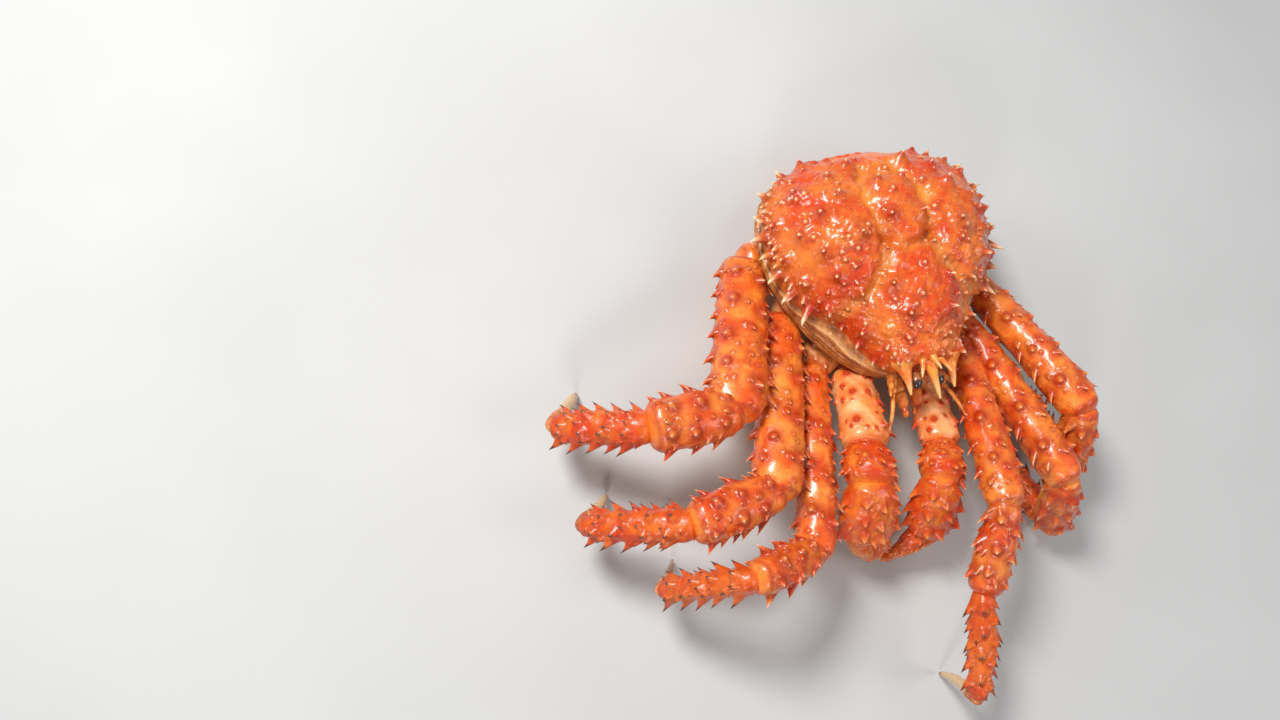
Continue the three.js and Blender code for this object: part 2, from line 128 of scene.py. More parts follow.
# a grid of points that closes round, with what each point carries
class Skin:
    def __init__(self, points):
        self.points = np.array(points, float)
        self.base = self.points.copy()
        alongGrid = np.gradient(self.base, axis=0)
        roundGrid = np.roll(self.base, -1, 1) - np.roll(self.base, 1, 1)
        normals = np.cross(roundGrid, alongGrid)
        self.normals = normals / np.maximum(np.linalg.norm(normals, axis=2, keepdims=True), 1e-9)
        outward = self.base - self.base.mean(axis=1, keepdims=True)
        if (self.normals * outward).sum() < 0:
            self.normals = -self.normals
        self.tip, self.spot, self.pale, self.flank = np.zeros((4, *self.points.shape[:2]))

    def swell(self, height):
        self.points += self.normals * height[..., None]

    def turn(self, degrees):
        angle = math.radians(degrees)
        cosine, sine = math.cos(angle), math.sin(angle)
        spin = np.array([[cosine, sine, 0], [-sine, cosine, 0], [0, 0, 1]])
        self.points, self.base, self.normals = self.points @ spin, self.base @ spin, self.normals @ spin
        return self

    # draws one spine out of the skin, or a round mound where its power is 0; the halo darkens its foot
    def grow(self, i, j, direction, form, size=1, bend=None):
        length, radius = form["length"] * size, form["radius"] * size
        power, halo, tip = form["power"], form.get("halo", 1), form.get("tip", 1)
        rows, columns = self.points.shape[:2]
        reach = radius * spineForm["window"]
        stepAlong = np.linalg.norm(self.base[min(i + 1, rows - 1), j] - self.base[max(i - 1, 0), j]) / 2
        stepRound = np.linalg.norm(self.base[i, (j + 1) % columns] - self.base[i, j - 1]) / 2
        a = int(min(rows, reach / max(stepAlong, 0.05) + 2))
        b = int(min(columns // 2 - 1, reach / max(stepRound, 0.05) + 2))
        window = np.ix_(np.arange(max(i - a, 0), min(i + a + 1, rows)), np.arange(j - b, j + b + 1) % columns)
        far = np.linalg.norm(self.base[window] - self.base[i, j], axis=2)
        share = np.clip(1 - far / radius, 0, 1)
        share = share**power if power else smoothStep(share, 0, 1)
        push = share[..., None] * length * direction
        if bend is not None:
            push = push + (share**2)[..., None] * bend
        self.points[window] += push
        self.tip[window] = np.maximum(self.tip[window], share * tip)
        near = bell(far, spineForm["haloWidth"] * radius) * halo
        near = near * (1 - spineForm["haloLoss"] * smoothStep(share * tip, 0.2, 0.6))
        self.spot[window] = np.maximum(self.spot[window], near)


def addObject(name, data):
    piece = bpy.data.objects.new(name, data)
    bpy.context.scene.collection.objects.link(piece)
    return piece


# joins skins into one piece that rides on the body and takes the place of a solid
def makePiece(solid, skins, finish, name=None):
    name = name or f"{solid}_skin"
    points, faces, marks = [], [], {"tip": [], "spot": [], "pale": [], "flank": []}
    count = 0
    for skin in skins:
        rows, columns = skin.points.shape[:2]
        index = np.arange(rows * columns).reshape(rows, columns) + count
        turned = np.roll(index, -1, 1)
        quads = np.stack([index[:-1], turned[:-1], turned[1:], index[1:]], axis=2).reshape(-1, 4)
        first, last = count + rows * columns, count + rows * columns + 1
        fans = [np.stack([np.full(columns, first), turned[0], index[0]], axis=1),
                np.stack([np.full(columns, last), index[-1], turned[-1]], axis=1)]
        ends = np.array([skin.points[0].mean(axis=0), skin.points[-1].mean(axis=0)])
        middle = rows // 2
        corner = skin.base[middle, 0]
        facing = np.cross(skin.base[middle, 1] - corner, skin.base[middle + 1, 0] - corner)
        if facing @ skin.normals[middle, 0] < 0:
            quads = quads[:, ::-1]
            fans = [fan[:, ::-1] for fan in fans]
        points += [skin.points.reshape(-1, 3), ends]
        faces += quads.tolist() + fans[0].tolist() + fans[1].tolist()
        for kind, values in marks.items():
            field = getattr(skin, kind)
            values += [field.reshape(-1), np.array([field[0].mean(), field[-1].mean()])]
        count += rows * columns + 2
    places = np.concatenate(points)
    places[:, 2] = np.maximum(places[:, 2], floorRoom)
    mesh = bpy.data.meshes.new(name)
    mesh.from_pydata((places * mm).tolist(), [], faces)
    for kind, values in marks.items():
        field = mesh.attributes.new(kind, "FLOAT", "POINT").data
        field.foreach_set("value", np.concatenate(values).astype(np.float32))
    mesh.shade_smooth()
    mesh.materials.append(finishes[finish])
    piece = addObject(name, mesh)
    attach(piece, "root")
    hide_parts(solid)


def link(tree, socket, value):
    if isinstance(value, bpy.types.NodeSocket):
        tree.links.new(value, socket)
    else:
        socket.default_value = (*value, 1.0) if socket.type == "RGBA" else value


def addNode(tree, kind, values=None, **settings):
    made = tree.nodes.new(kind)
    for setting, value in settings.items():
        setattr(made, setting, value)
    for name, value in (values or {}).items():
        link(tree, made.inputs[name], value)
    return made


# sockets 0, 6 and 7 of the node are the share and the two colours, output 2 is the mixed colour
def blend(tree, share, first, second):
    made = addNode(tree, "ShaderNodeMix", data_type="RGBA", blend_type="MIX")
    link(tree, made.inputs[0], share)
    link(tree, made.inputs[6], first)
    link(tree, made.inputs[7], second)
    return made.outputs[2]


def fade(tree, value, low, high, lowOut=0.0, highOut=1.0):
    values = {"Value": value, "From Min": low, "From Max": high, "To Min": lowOut, "To Max": highOut}
    return addNode(tree, "ShaderNodeMapRange", values, interpolation_type="SMOOTHSTEP").outputs["Result"]


def combine(tree, first, second, how="MULTIPLY"):
    made = addNode(tree, "ShaderNodeMath", operation=how)
    link(tree, made.inputs[0], first)
    link(tree, made.inputs[1], second)
    return made.outputs[0]


def grain(tree, place, scale, detail=3.0, roughness=0.55, warp=0.0):
    values = {"Vector": place, "Scale": scale, "Detail": detail, "Roughness": roughness, "Distortion": warp}
    return addNode(tree, "ShaderNodeTexNoise", values).outputs["Fac"]


def mark(tree, name):
    return addNode(tree, "ShaderNodeAttribute", attribute_name=name, attribute_type="GEOMETRY").outputs["Fac"]


def emptyMaterial(name):
    material = bpy.data.materials.new(name)
    material.use_nodes = True
    material.node_tree.nodes.clear()
    return material


def joinSurface(tree, shine, bump):
    tree.links.new(bump.outputs["Normal"], shine.inputs["Normal"])
    out = addNode(tree, "ShaderNodeOutputMaterial")
    tree.links.new(shine.outputs[0], out.inputs["Surface"])


# what every cooked surface shares
shellLook = {
    "main": (0.76, 0.07, 0.005),
    "light": (0.95, 0.25, 0.028),
    "deep": (0.42, 0.016, 0.002),
    "pale": (0.95, 0.44, 0.07),
    "paleShare": 0.8,
    "spot": (0.36, 0.011, 0.002),
    "spotShare": 1.0,
    "tip": (0.96, 0.62, 0.36),
    "tipFrom": 0.42,
    "tipTo": 0.85,
    "leather": (0.62, 0.225, 0.05),
    "leatherDark": (0.28, 0.08, 0.018),
    "welt": (0.84, 0.47, 0.19),
    # patterns from large to small: more is finer
    "cloudScale": 50.0,
    "foldScale": 130.0,
    "patchScale": 230.0,
    "fleckScale": 420.0,
    "grainScale": 700.0,
    "poreScale": 900.0,
    # where each pattern begins and is full, and for some how strong it is there and there
    "cloudFade": (0.36, 0.64),
    "fleckFade": (0.52, 0.72, 0.0, 0.55),
    "patchFade": (0.56, 0.76, 0.0, 0.5),
    "ringFade": (0.2, 0.6, 0.75, 1.0),
    "poreFade": (0.0, 0.32, 0.35, 0.0),
    "foldFade": (0.35, 0.65),
    # pale welts of the leather, and painted shade that darkens its creases
    "leatherWelt": 0.75,
    "leatherCreaseShade": 0.8,
    "roughness": 0.22,
    "roughnessSpread": 0.18,
    "wetness": 0.5,
    "wetRoughness": 0.2,
    "leatherWetness": 0.25,
    "glow": 0.06,
    # strength and height of the fine relief, and the shares of pores and clouds in it
    "bump": 0.4,
    "bumpHeight": 0.0006,
    "poreDepth": 0.35,
    "cloudDepth": 1.2,
}
# what each finish changes of that
cookedFinishes = {
    "shellRed": {},
    "legRed": {
        "cloudScale": 75.0, "main": (0.88, 0.115, 0.009), "light": (0.98, 0.3, 0.042),
        "tipFrom": 0.6, "tipTo": 1.0},
    "legDarkTips": {
        "cloudScale": 80.0, "main": (0.76, 0.072, 0.005), "light": (0.92, 0.2, 0.018), "wetness": 0.25,
        "tip": (0.11, 0.028, 0.012), "tipFrom": 0.45, "tipTo": 0.8,
        "spot": (0.3, 0.016, 0.004), "spotShare": 0.6},
    "nailHorn": {
        "cloudScale": 90.0, "main": (0.4, 0.05, 0.01), "light": (0.8, 0.34, 0.1), "wetness": 0.2,
        "deep": (0.3, 0.05, 0.012), "pale": (0.66, 0.46, 0.25), "paleShare": 1.0,
        "tip": (0.3, 0.13, 0.05)},
    "clawOrange": {
        "cloudScale": 60.0, "main": (0.82, 0.095, 0.008), "light": (0.94, 0.29, 0.032),
        "tip": (0.93, 0.34, 0.09), "tipFrom": 0.55, "tipTo": 0.95,
        "spot": (0.5, 0.022, 0.003), "spotShare": 0.95},
    "clawPeach": {
        "cloudScale": 80.0, "main": (0.92, 0.31, 0.07), "light": (0.96, 0.62, 0.28),
        "deep": (0.88, 0.2, 0.03), "pale": (0.96, 0.6, 0.24), "spot": (0.86, 0.13, 0.018),
        "spotShare": 0.75, "tip": (0.6, 0.05, 0.007), "tipFrom": 0.08, "tipTo": 0.55},
    "hipBrown": {
        "cloudScale": 70.0, "main": (0.72, 0.17, 0.028), "light": (0.84, 0.36, 0.09),
        "deep": (0.38, 0.06, 0.012), "pale": (0.72, 0.38, 0.13), "wetness": 0.15, "roughness": 0.35},
    "bellyOrange": {
        "cloudScale": 60.0, "main": (0.82, 0.17, 0.022), "light": (0.92, 0.36, 0.07),
        "deep": (0.58, 0.085, 0.012), "pale": (0.9, 0.56, 0.26), "spot": (0.62, 0.05, 0.006),
        "spotShare": 0.7, "wetness": 0.2, "roughness": 0.34},
    "mouthOrange": {
        "main": (0.8, 0.15, 0.015), "light": (0.92, 0.36, 0.06), "deep": (0.36, 0.06, 0.01),
        "tip": (0.92, 0.5, 0.16)},
    "beakOrange": {
        "cloudScale": 120.0, "main": (0.88, 0.165, 0.014), "light": (0.95, 0.36, 0.055),
        "tip": (0.96, 0.5, 0.17), "tipFrom": 0.2, "tipTo": 0.9},
    "stalkBrown": {
        "cloudScale": 260.0, "main": (0.34, 0.12, 0.035), "light": (0.62, 0.32, 0.13),
        "deep": (0.1, 0.028, 0.012), "pale": (0.52, 0.25, 0.1)},
}


# cooked shell: blotched orange and red, dark rings round the spines, pale joints and undersides, and
# brown leather where the flank mark is; the same dark paints shade on lobe slopes and flank creases
def cookedShell(name, changes):
    look = {**shellLook, **changes}
    material = emptyMaterial(name)
    tree = material.node_tree
    place = addNode(tree, "ShaderNodeTexCoord").outputs["Object"]
    clouds = grain(tree, place, look["cloudScale"], 4.0, 0.6, 0.4)
    skin = blend(tree, fade(tree, clouds, *look["cloudFade"]), look["light"], look["main"])
    flecks = grain(tree, place, look["fleckScale"], 4.0, 0.65)
    skin = blend(tree, fade(tree, flecks, *look["fleckFade"]), skin, look["deep"])
    patches = grain(tree, place, look["patchScale"], 3.0, 0.5, 0.8)
    skin = blend(tree, fade(tree, patches, *look["patchFade"]), skin, look["light"])
    skin = blend(tree, combine(tree, mark(tree, "pale"), look["paleShare"]), skin, look["pale"])
    # this dark marks real rings round the spines and also painted shade on lobe slopes and in flank creases
    ring = combine(tree, mark(tree, "spot"), fade(tree, patches, *look["ringFade"]))
    skin = blend(tree, combine(tree, ring, look["spotShare"]), skin, look["spot"])
    fold = grain(tree, place, look["foldScale"], 5.0, 0.7, 1.2)
    leather = blend(tree, fade(tree, fold, *look["foldFade"]), look["leatherDark"], look["leather"])
    leather = blend(tree, combine(tree, mark(tree, "pale"), look["leatherWelt"]), leather, look["welt"])
    # painted shade: the leather is darkened where the flank creases sink in
    leather = blend(tree, combine(tree, mark(tree, "spot"), look["leatherCreaseShade"]), leather,
                    look["leatherDark"])
    skin = blend(tree, mark(tree, "flank"), skin, leather)
    skin = blend(tree, fade(tree, mark(tree, "tip"), look["tipFrom"], look["tipTo"]), skin, look["tip"])
    pores = addNode(tree, "ShaderNodeTexVoronoi", {"Vector": place, "Scale": look["poreScale"]})
    pores = pores.outputs["Distance"]
    skin = blend(tree, fade(tree, pores, *look["poreFade"]), skin, look["deep"])
    roughest = look["roughness"] + look["roughnessSpread"]
    dry = look["wetness"] * look["leatherWetness"]
    shine = addNode(tree, "ShaderNodeBsdfPrincipled", {
        "Base Color": skin,
        "Roughness": fade(tree, flecks, 0.3, 0.7, look["roughness"], roughest),
        "Specular IOR Level": 0.4,
        "Coat Weight": fade(tree, mark(tree, "flank"), 0.0, 1.0, look["wetness"], dry),
        "Coat Roughness": look["wetRoughness"],
        "Subsurface Weight": look["glow"],
        "Subsurface Radius": (1.0, 0.35, 0.12),
        "Subsurface Scale": 0.002,
    })
    fine = grain(tree, place, look["grainScale"], 3.0, 0.6)
    height = combine(tree, fine, combine(tree, pores, look["poreDepth"]), "ADD")
    height = combine(tree, height, combine(tree, clouds, look["cloudDepth"]), "ADD")
    bump = addNode(tree, "ShaderNodeBump", {
        "Height": height, "Strength": look["bump"], "Distance": look["bumpHeight"]})
    joinSurface(tree, shine, bump)
    return material


eyeLook = {
    "dark": (0.022, 0.014, 0.01), "veil": (0.08, 0.045, 0.028), "rim": (0.4, 0.17, 0.06),
    "veilScale": 260.0, "facetScale": 3200.0,
}


def eyeGlass():
    material = emptyMaterial("eyeDark")
    tree = material.node_tree
    place = addNode(tree, "ShaderNodeTexCoord").outputs["Object"]
    facets = addNode(tree, "ShaderNodeTexVoronoi", {"Vector": place, "Scale": eyeLook["facetScale"]})
    veil = grain(tree, place, eyeLook["veilScale"], 3.0, 0.6)
    skin = blend(tree, fade(tree, veil, 0.4, 0.7), eyeLook["dark"], eyeLook["veil"])
    skin = blend(tree, mark(tree, "pale"), skin, eyeLook["rim"])
    shine = addNode(tree, "ShaderNodeBsdfPrincipled", {
        "Base Color": skin,
        "Roughness": fade(tree, veil, 0.3, 0.7, 0.16, 0.3),
        "Coat Weight": 0.8,
        "Coat Roughness": 0.05,
    })
    bump = addNode(tree, "ShaderNodeBump", {
        "Height": facets.outputs["Distance"], "Strength": 0.25, "Distance": 0.0001})
    joinSurface(tree, shine, bump)
    return material


finishes = {name: cookedShell(name, changes) for name, changes in cookedFinishes.items()}
finishes["eyeDark"] = eyeGlass()
print("finishes mixed")


# skin of a limb: how square its section is, where 1 is round, its unevenness, which fades towards the
# ends, and where its underside and joints turn pale and the crease at each end turns dark
limbForm = {
    "square": 0.92, "lumpSize": 16, "smallLumps": (6, 0.45), "evenEnds": 6,
    "under": (0.25, 0.85), "underPale": 0.9, "joint": (0.4, 1.9), "jointPale": 0.12,
    "creaseAt": 3.0, "creaseWidth": 1.6, "creaseDark": 0.7,
}


# limb on a line that bows upwards; rings are share of length, half width, half height
class Limb:
    def __init__(self, start, direction, length, rings, bow=0.0):
        self.start, self.direction, self.length = np.array(start, float), unit(direction), length
        self.rings, self.bow = rings, bow
        self.side = unit(np.cross(self.direction, [0, 0, 1]))
        self.up = np.cross(self.side, self.direction)
        self.end = self.centre(1.0)

    def centre(self, t):
        t = np.asarray(t, float)[..., None]
        return self.start + self.direction * self.length * t + self.up * self.bow * np.sin(math.pi * t)

    # skin of the limb; its ends close in a short dome
    def skin(self, step=None, dome=2.2, seed=1, rough=0.3):
        step = step or fineness
        first, last = self.rings[0][0], self.rings[-1][0]
        reach = (last - first) * self.length
        dome = min(dome, reach / 4)
        bend = np.sin(np.linspace(0, math.pi / 2, max(4, int(dome * 1.6 / step))))
        straightPart = np.linspace(dome, reach - dome, max(6, int((reach - 2 * dome) / step)))
        away = np.concatenate([dome * (1 - bend[::-1])[:-1] + 0.02, straightPart,
                               reach - dome * (1 - bend)[1:] - 0.02])
        near = np.minimum(away, reach - away)
        close = np.sqrt(np.clip(1 - np.clip(1 - near / dome, 0, 1) ** 2, 0.0004, 1))
        t = first + away / self.length
        wide = curved(self.rings, t, 1) * close
        high = curved(self.rings, t, 2) * close
        count = int(max(16, 2 * math.pi * max(wide.max(), high.max()) / step))
        angle = np.arange(count) * 2 * math.pi / count
        form = limbForm
        across, upward = squarer(np.cos(angle), form["square"]), squarer(np.sin(angle), form["square"])
        skin = Skin(self.centre(t)[:, None] + wide[:, None, None] * across[None, :, None] * self.side
                    + high[:, None, None] * upward[None, :, None] * self.up)
        skin.t, skin.angle, skin.away = t, angle, away
        if rough:
            uneven = lumps(skin.base, seed, form["lumpSize"], rough)
            size, share = form["smallLumps"]
            uneven = uneven + lumps(skin.base, seed + 1, size, share * rough)
            skin.swell(uneven * smoothStep(near, 0, form["evenEnds"])[:, None])
        under = smoothStep(-np.sin(angle), *form["under"]) * form["underPale"]
        joint = (1 - smoothStep(near, *form["joint"])) * form["jointPale"]
        skin.pale = np.maximum(under[None, :], joint[:, None])
        crease = bell(near - form["creaseAt"], form["creaseWidth"]) * form["creaseDark"]
        skin.spot = np.maximum(skin.spot, crease[:, None])
        return skin

    # whether a point lies in the limb or close to it
    def holds(self, point):
        offset = point - self.start
        t = offset @ self.direction / self.length
        if not self.rings[0][0] < t < self.rings[-1][0]:
            return False
        offset = point - self.centre(t)
        room = spineForm["room"]
        wide, high = straight(self.rings, t, 1) + room, straight(self.rings, t, 2) + room
        return (offset @ self.side / wide) ** 2 + (offset @ self.up / high) ** 2 < 1


# the place of a share of the length and an angle round it on the skin of a limb
def limbSpot(skin, t, angle):
    i = int(np.abs(skin.t - t).argmin())
    j = int(round(angle / (2 * math.pi) * len(skin.angle))) % len(skin.angle)
    return i, j


bodyForm = {
    "front": -46, "rear": 66, "floor": 31, "ridge": 0.8, "turn": 3.5,
    "halfWidths": [[-46, 14], [-43, 21], [-36, 30], [-27, 39], [-15, 47.5], [0, 54.5], [14, 58.4],
                   [25, 59], [36, 58], [46, 54], [55, 46.5], [62, 34], [66, 18]],
    "crown": [[-46, 60], [-40, 62.5], [-28, 65], [-10, 66.5], [15, 68], [36, 66], [50, 59], [60, 50],
              [66, 40]],
    "rim": [[-46, 46], [-38, 44.5], [-20, 43], [-6, 39], [10, 36], [66, 34]],
    "flank": [[-46, 1.5], [-40, 5], [-28, 10], [-20, 11.5], [-13, 7], [-5, 3.5], [10, 2], [66, 1.5]],
    # place, half size and height of the swellings
    "lobes": [[0, -20, 20, 20, 7], [34, 17, 19, 25, 9], [-34, 17, 19, 25, 9], [0, 24, 11, 16, 5]],
    # furrows between them, alike on both sides: points along each, depth and width
    "furrows": [[[(39, -16), (31, -14), (26, -11), (20, -7), (14, 3), (11.5, 12.5)], 3.4, 3.6],
                [[(11.5, 12.5), (13, 22), (15, 33), (12, 45), (8, 52)], 2.6, 3.2],
                [[(11.5, 12.5), (6, 8.5), (0, 7)], 2.0, 3.0],
                [[(22, -8), (25, -20), (23, -32)], 1.3, 3.2],
                [[(13, 43), (6, 48), (0, 49)], 1.4, 3.0]],
    # grid: spacing against fineness, breadth over the back, down the flank and over an end, and the
    # number of points under it
    "spacing": 1.25, "overBack": 148, "downFlank": 19, "overEnd": 11, "underCount": 34,
    "endBulge": (1.8, 1.2),
    # unevenness as seed, size and height, on the back and on the flank
    "lumps": [(3, 12, 0.6), (5, 5, 0.28)], "flankLumps": (4, 5, 0.25),
    # marks of the furrows, of painted shade on slopes (place, half size, strength), of the yellower sides
    "furrowWidth": 0.9, "furrowPale": 0.7, "paintedShadeSlope": (30, -5, 12, 6, 0.5),
    "sidePale": 0.62, "sideArch": (0.1, 0.6), "sideFrom": (-16, 12),
    # folds of the soft flank: share of the way down, depth; then their width, and how strongly painted shade
    # darkens them
    "creases": [(0.52, 0.8), (0.68, 0.6), (0.84, 0.5)], "creaseWidth": 0.045, "creaseDark": 1.2,
    "welt": (0.28, 1.1), "weltWidth": 0.08,
    # how the folds waver along the body: height, pace, start; then the groove under the rim: depth, place,
    # width; and the bulge of the flank, its start under the rim, and how far the underside is over the floor
    "waver": [(0.03, 0.21, 0), (0.02, 0.47, 1)], "gutter": (0.5, 0.06, 0.05),
    "flankBulge": 0.8, "flankDrop": 0.4, "underRoom": 0.3,
}
# what stands on the shell; across is 0 on the midline and 1 at the rim
shellSpines = {
    "rim": {"length": 8.2, "radius": 3.7, "power": 1.35, "forward": 1.9, "count": 11, "across": 0.93,
            "from": -10, "frontSize": 0.4, "shift": 1.5, "ends": 7},
    "knob": {"length": 2.6, "radius": 1.9, "power": 1.1, "forward": 0.6, "tries": 900, "gap": 12.5,
             "across": 0.8, "ends": 4},
    "mound": {"length": 2.5, "radius": 6.2, "power": 0, "halo": 0.55, "tip": 0},
    "wart": {"length": 1.9, "radius": 2.5, "power": 1, "halo": 0.8, "tip": 0.85, "count": 130,
             "size": (0.6, 1)},
    "bead": {"length": 0.7, "radius": 1.3, "power": 1, "halo": 0.25, "tip": 0.8, "count": 620,
             "size": (0.6, 1)},
    "thorn": {"length": 3.8, "radius": 2.5, "power": 1.3, "halo": 0.7, "count": 18, "size": (0.7, 1.2),
              "across": (0.82, 0.97), "lean": (0, -0.4, 0), "rearRoom": 8},
}
# how much the spines differ in size
spread = 0.35


# one point of the shell as the solid has it; s runs across from rim to rim
def shellPoint(y, s):
    angle = s * math.pi / 2
    x = (straight(bodyForm["halfWidths"], y) - straight(bodyForm["flank"], y)) * math.sin(angle)
    rim = straight(bodyForm["rim"], y)
    arch = max(math.cos(angle), 0) ** bodyForm["ridge"]
    z = rim + (straight(bodyForm["crown"], y) - rim) * arch
    for lobeX, lobeY, wide, long, high in bodyForm["lobes"]:
        z += high * math.exp(-((x - lobeX) / wide) ** 2 - ((y - lobeY) / long) ** 2) * arch
    return np.array([x, y, z])


# the way straight out of the shell there
def shellNormal(y, s):
    across = shellPoint(y, s + 0.02) - shellPoint(y, s - 0.02)
    return unit(np.cross(across, shellPoint(y + 1, s) - shellPoint(y - 1, s)))


# distance from a line of points, over the ground
def distanceTo(line, x, y):
    best = np.full(x.shape, 1e9)
    for (ax, ay), (bx, by) in zip(line, line[1:]):
        dx, dy = bx - ax, by - ay
        t = np.clip(((x - ax) * dx + (y - ay) * dy) / (dx * dx + dy * dy), 0, 1)
        best = np.minimum(best, np.hypot(x - ax - t * dx, y - ay - t * dy))
    return best


# rings that close an end of the shell, bulging by the given height
def endRings(ring, bulge, count):
    middle = ring.mean(axis=0)
    shares = np.linspace(0.04, 1, count + 1)[:-1]
    rings = [middle + (ring - middle) * share for share in shares]
    for share, inner in zip(shares, rings):
        inner[:, 1] += bulge * math.cos(share * math.pi / 2)
    return np.array(rings)


def shellSkin():
    form = bodyForm
    step = fineness * form["spacing"]
    y = np.linspace(form["front"], form["rear"], int((form["rear"] - form["front"]) / step))
    half, inset = curved(form["halfWidths"], y), curved(form["flank"], y)
    rim, crown = curved(form["rim"], y), curved(form["crown"], y)
    rimHalf = half - inset
    across = int(form["overBack"] / step)
    s = np.linspace(-1, 1, across)
    angle = s * math.pi / 2
    arch = np.clip(np.cos(angle), 0, 1) ** form["ridge"]
    x = rimHalf[:, None] * np.sin(angle)
    z = rim[:, None] + (crown - rim)[:, None] * arch
    yy = np.repeat(y[:, None], across, axis=1)
    for lobeX, lobeY, wide, long, high in form["lobes"]:
        z += high * np.exp(-((x - lobeX) / wide) ** 2 - ((yy - lobeY) / long) ** 2) * arch
    furrow = np.zeros(x.shape)
    for line, depth, width in form["furrows"]:
        for sign in (1, -1):
            far = distanceTo([(sign * px, py) for px, py in line], x, yy)
            z -= depth * bell(far, width) * arch**0.6
            furrow = np.maximum(furrow, bell(far, form["furrowWidth"] * width) * depth / 3)
    top = np.stack([x, yy, z], axis=2)
    # soft flank from the rim down to the floor of the shell, with a welt and creases, then the underside
    folds = int(form["downFlank"] / step)
    down = np.linspace(0, 1, folds + 1)[1:]
    wave = down
    for high, pace, start in form["waver"]:
        wave = wave + high * np.sin(y[:, None] * pace + start)
    welt = bell(wave - form["welt"][0], form["weltWidth"])
    crease = np.zeros(wave.shape)
    for share, depth in form["creases"]:
        crease = np.maximum(crease, bell(wave - share, form["creaseWidth"]) * depth)
    relief = (form["welt"][1] * welt - crease) * np.clip(inset / 8, 0.15, 1)[:, None]
    depth, place, width = form["gutter"]
    outX = rimHalf[:, None] - depth * bell(down - place, width)
    outX = outX + inset[:, None] * np.sin(down * math.pi / 2) ** form["flankBulge"]
    drop = form["flankDrop"]
    outZ = rim[:, None] - drop - (rim[:, None] - 2 * drop - form["floor"]) * down
    sides = [gridOf(sign * (outX + relief), y[:, None], outZ) for sign in (1, -1)]
    under = np.linspace(1, -1, form["underCount"])[1:-1]
    bottom = gridOf(half[:, None] * under, y[:, None], form["floor"] + form["underRoom"])
    ring = np.concatenate([top, sides[0], bottom, sides[1][:, ::-1]], axis=1)
    endCount = int(form["overEnd"] / step)
    front, rear = (endRings(ring[k], bulge, endCount) for k, bulge in zip((0, -1), form["endBulge"]))
    ring = np.concatenate([front, ring, rear[::-1]])
    skin = Skin(ring)
    rows, columns = len(ring), ring.shape[1]
    inner = slice(endCount, rows - endCount)
    rough = np.zeros((rows, columns))
    rough[inner, :across] = arch
    skin.swell(sum(lumps(skin.base, *one) for one in form["lumps"]) * rough)
    skin.swell(lumps(skin.base, *form["flankLumps"]) * (1 - rough))
    side = (1 - smoothStep(arch, *form["sideArch"])) * smoothStep(yy, *form["sideFrom"]) * form["sidePale"]
    skin.pale[inner, :across] = np.clip(furrow, 0, 1) * form["furrowPale"] + side
    # painted shade: the front slopes of the side lobes are darkened in deep red
    slopeX, slopeY, wide, long, strength = form["paintedShadeSlope"]
    skin.spot[inner, :across] = strength * np.exp(
        -(((np.abs(x) - slopeX) / wide) ** 2) - ((yy - slopeY) / long) ** 2)
    skin.flank[:] = 1
    skin.flank[:endCount] = skin.base[:endCount, :, 2] < form["rim"][0][1]
    skin.flank[inner, :across] = 0
    skin.flank[rows - endCount:] = skin.base[rows - endCount:, :, 2] < form["rim"][-1][1]
    # painted shade: the sunken creases of the flank are darkened
    crease = crease * form["creaseDark"]
    for start, way in ((across, 1), (columns - folds, -1)):
        skin.pale[inner, start:start + folds] = welt[:, ::way]
        skin.spot[inner, start:start + folds] = crease[:, ::way]
    skin.y, skin.s, skin.firstRow = y, s, endCount
    return skin


def shellSpot(skin, y, s):
    return skin.firstRow + int(np.abs(skin.y - y).argmin()), int(np.abs(skin.s - s).argmin())


def dressShell(skin):
    front, rear = bodyForm["front"], bodyForm["rear"]
    draw = drawFrom(7)

    def place(y, s, form):
        size = 1 + spread * (next(draw) - 0.5)
        bend = np.array([0, -form["forward"], 0.3 * form["forward"]]) * size
        skin.grow(*shellSpot(skin, y, s), shellNormal(y, s), form, size, bend)

    rim = shellSpines["rim"]
    for k in range(rim["count"]):
        y = front + rim["ends"] + (rear - front - 2 * rim["ends"]) * k / (rim["count"] - 1)
        small = 1.0 if y > rim["from"] else rim["frontSize"]
        form = {**rim, "length": rim["length"] * small, "radius": rim["radius"] * (0.3 + 0.7 * small),
                "forward": rim["forward"] * small}
        place(y, rim["across"], form)
        place(y + rim["shift"] * (next(draw) - 0.5), -rim["across"], form)
    # knobs on round mounds, as evenly as they fit, and none that would meet its own mirror image
    knob, knobs = shellSpines["knob"], []
    for _ in range(knob["tries"]):
        y = front + knob["ends"] + (rear - front - 2 * knob["ends"]) * next(draw)
        s = next(draw) * knob["across"]
        here = shellPoint(y, s)
        doubled = 0.01 < here[0] < knob["gap"] / 2
        if not doubled and all(np.linalg.norm(other - here) > knob["gap"] for other in knobs):
            knobs.append(here)
            for side in (s, -s):
                skin.grow(*shellSpot(skin, y, side), shellNormal(y, side), shellSpines["mound"])
                place(y, side, knob)
    # warts and small beads between the knobs
    rng = np.random.default_rng(21)
    for form in (shellSpines["wart"], shellSpines["bead"]):
        for _ in range(form["count"]):
            i, j = shellSpot(skin, rng.uniform(front + 2, rear - 3), rng.uniform(-0.94, 0.94))
            if skin.tip[i, j] < spineForm["free"]:
                skin.grow(i, j, skin.normals[i, j], form, rng.uniform(*form["size"]))
    # short thorns between the spines of the rim
    thorn = shellSpines["thorn"]
    for k in range(thorn["count"]):
        y = rim["from"] + (rear - thorn["rearRoom"] - rim["from"]) * (k + 0.5) / thorn["count"]
        for sign in (1, -1):
            i, j = shellSpot(skin, y, sign * rng.uniform(*thorn["across"]))
            direction = unit(skin.normals[i, j] + thorn["lean"])
            skin.grow(i, j, direction, thorn, rng.uniform(*thorn["size"]))


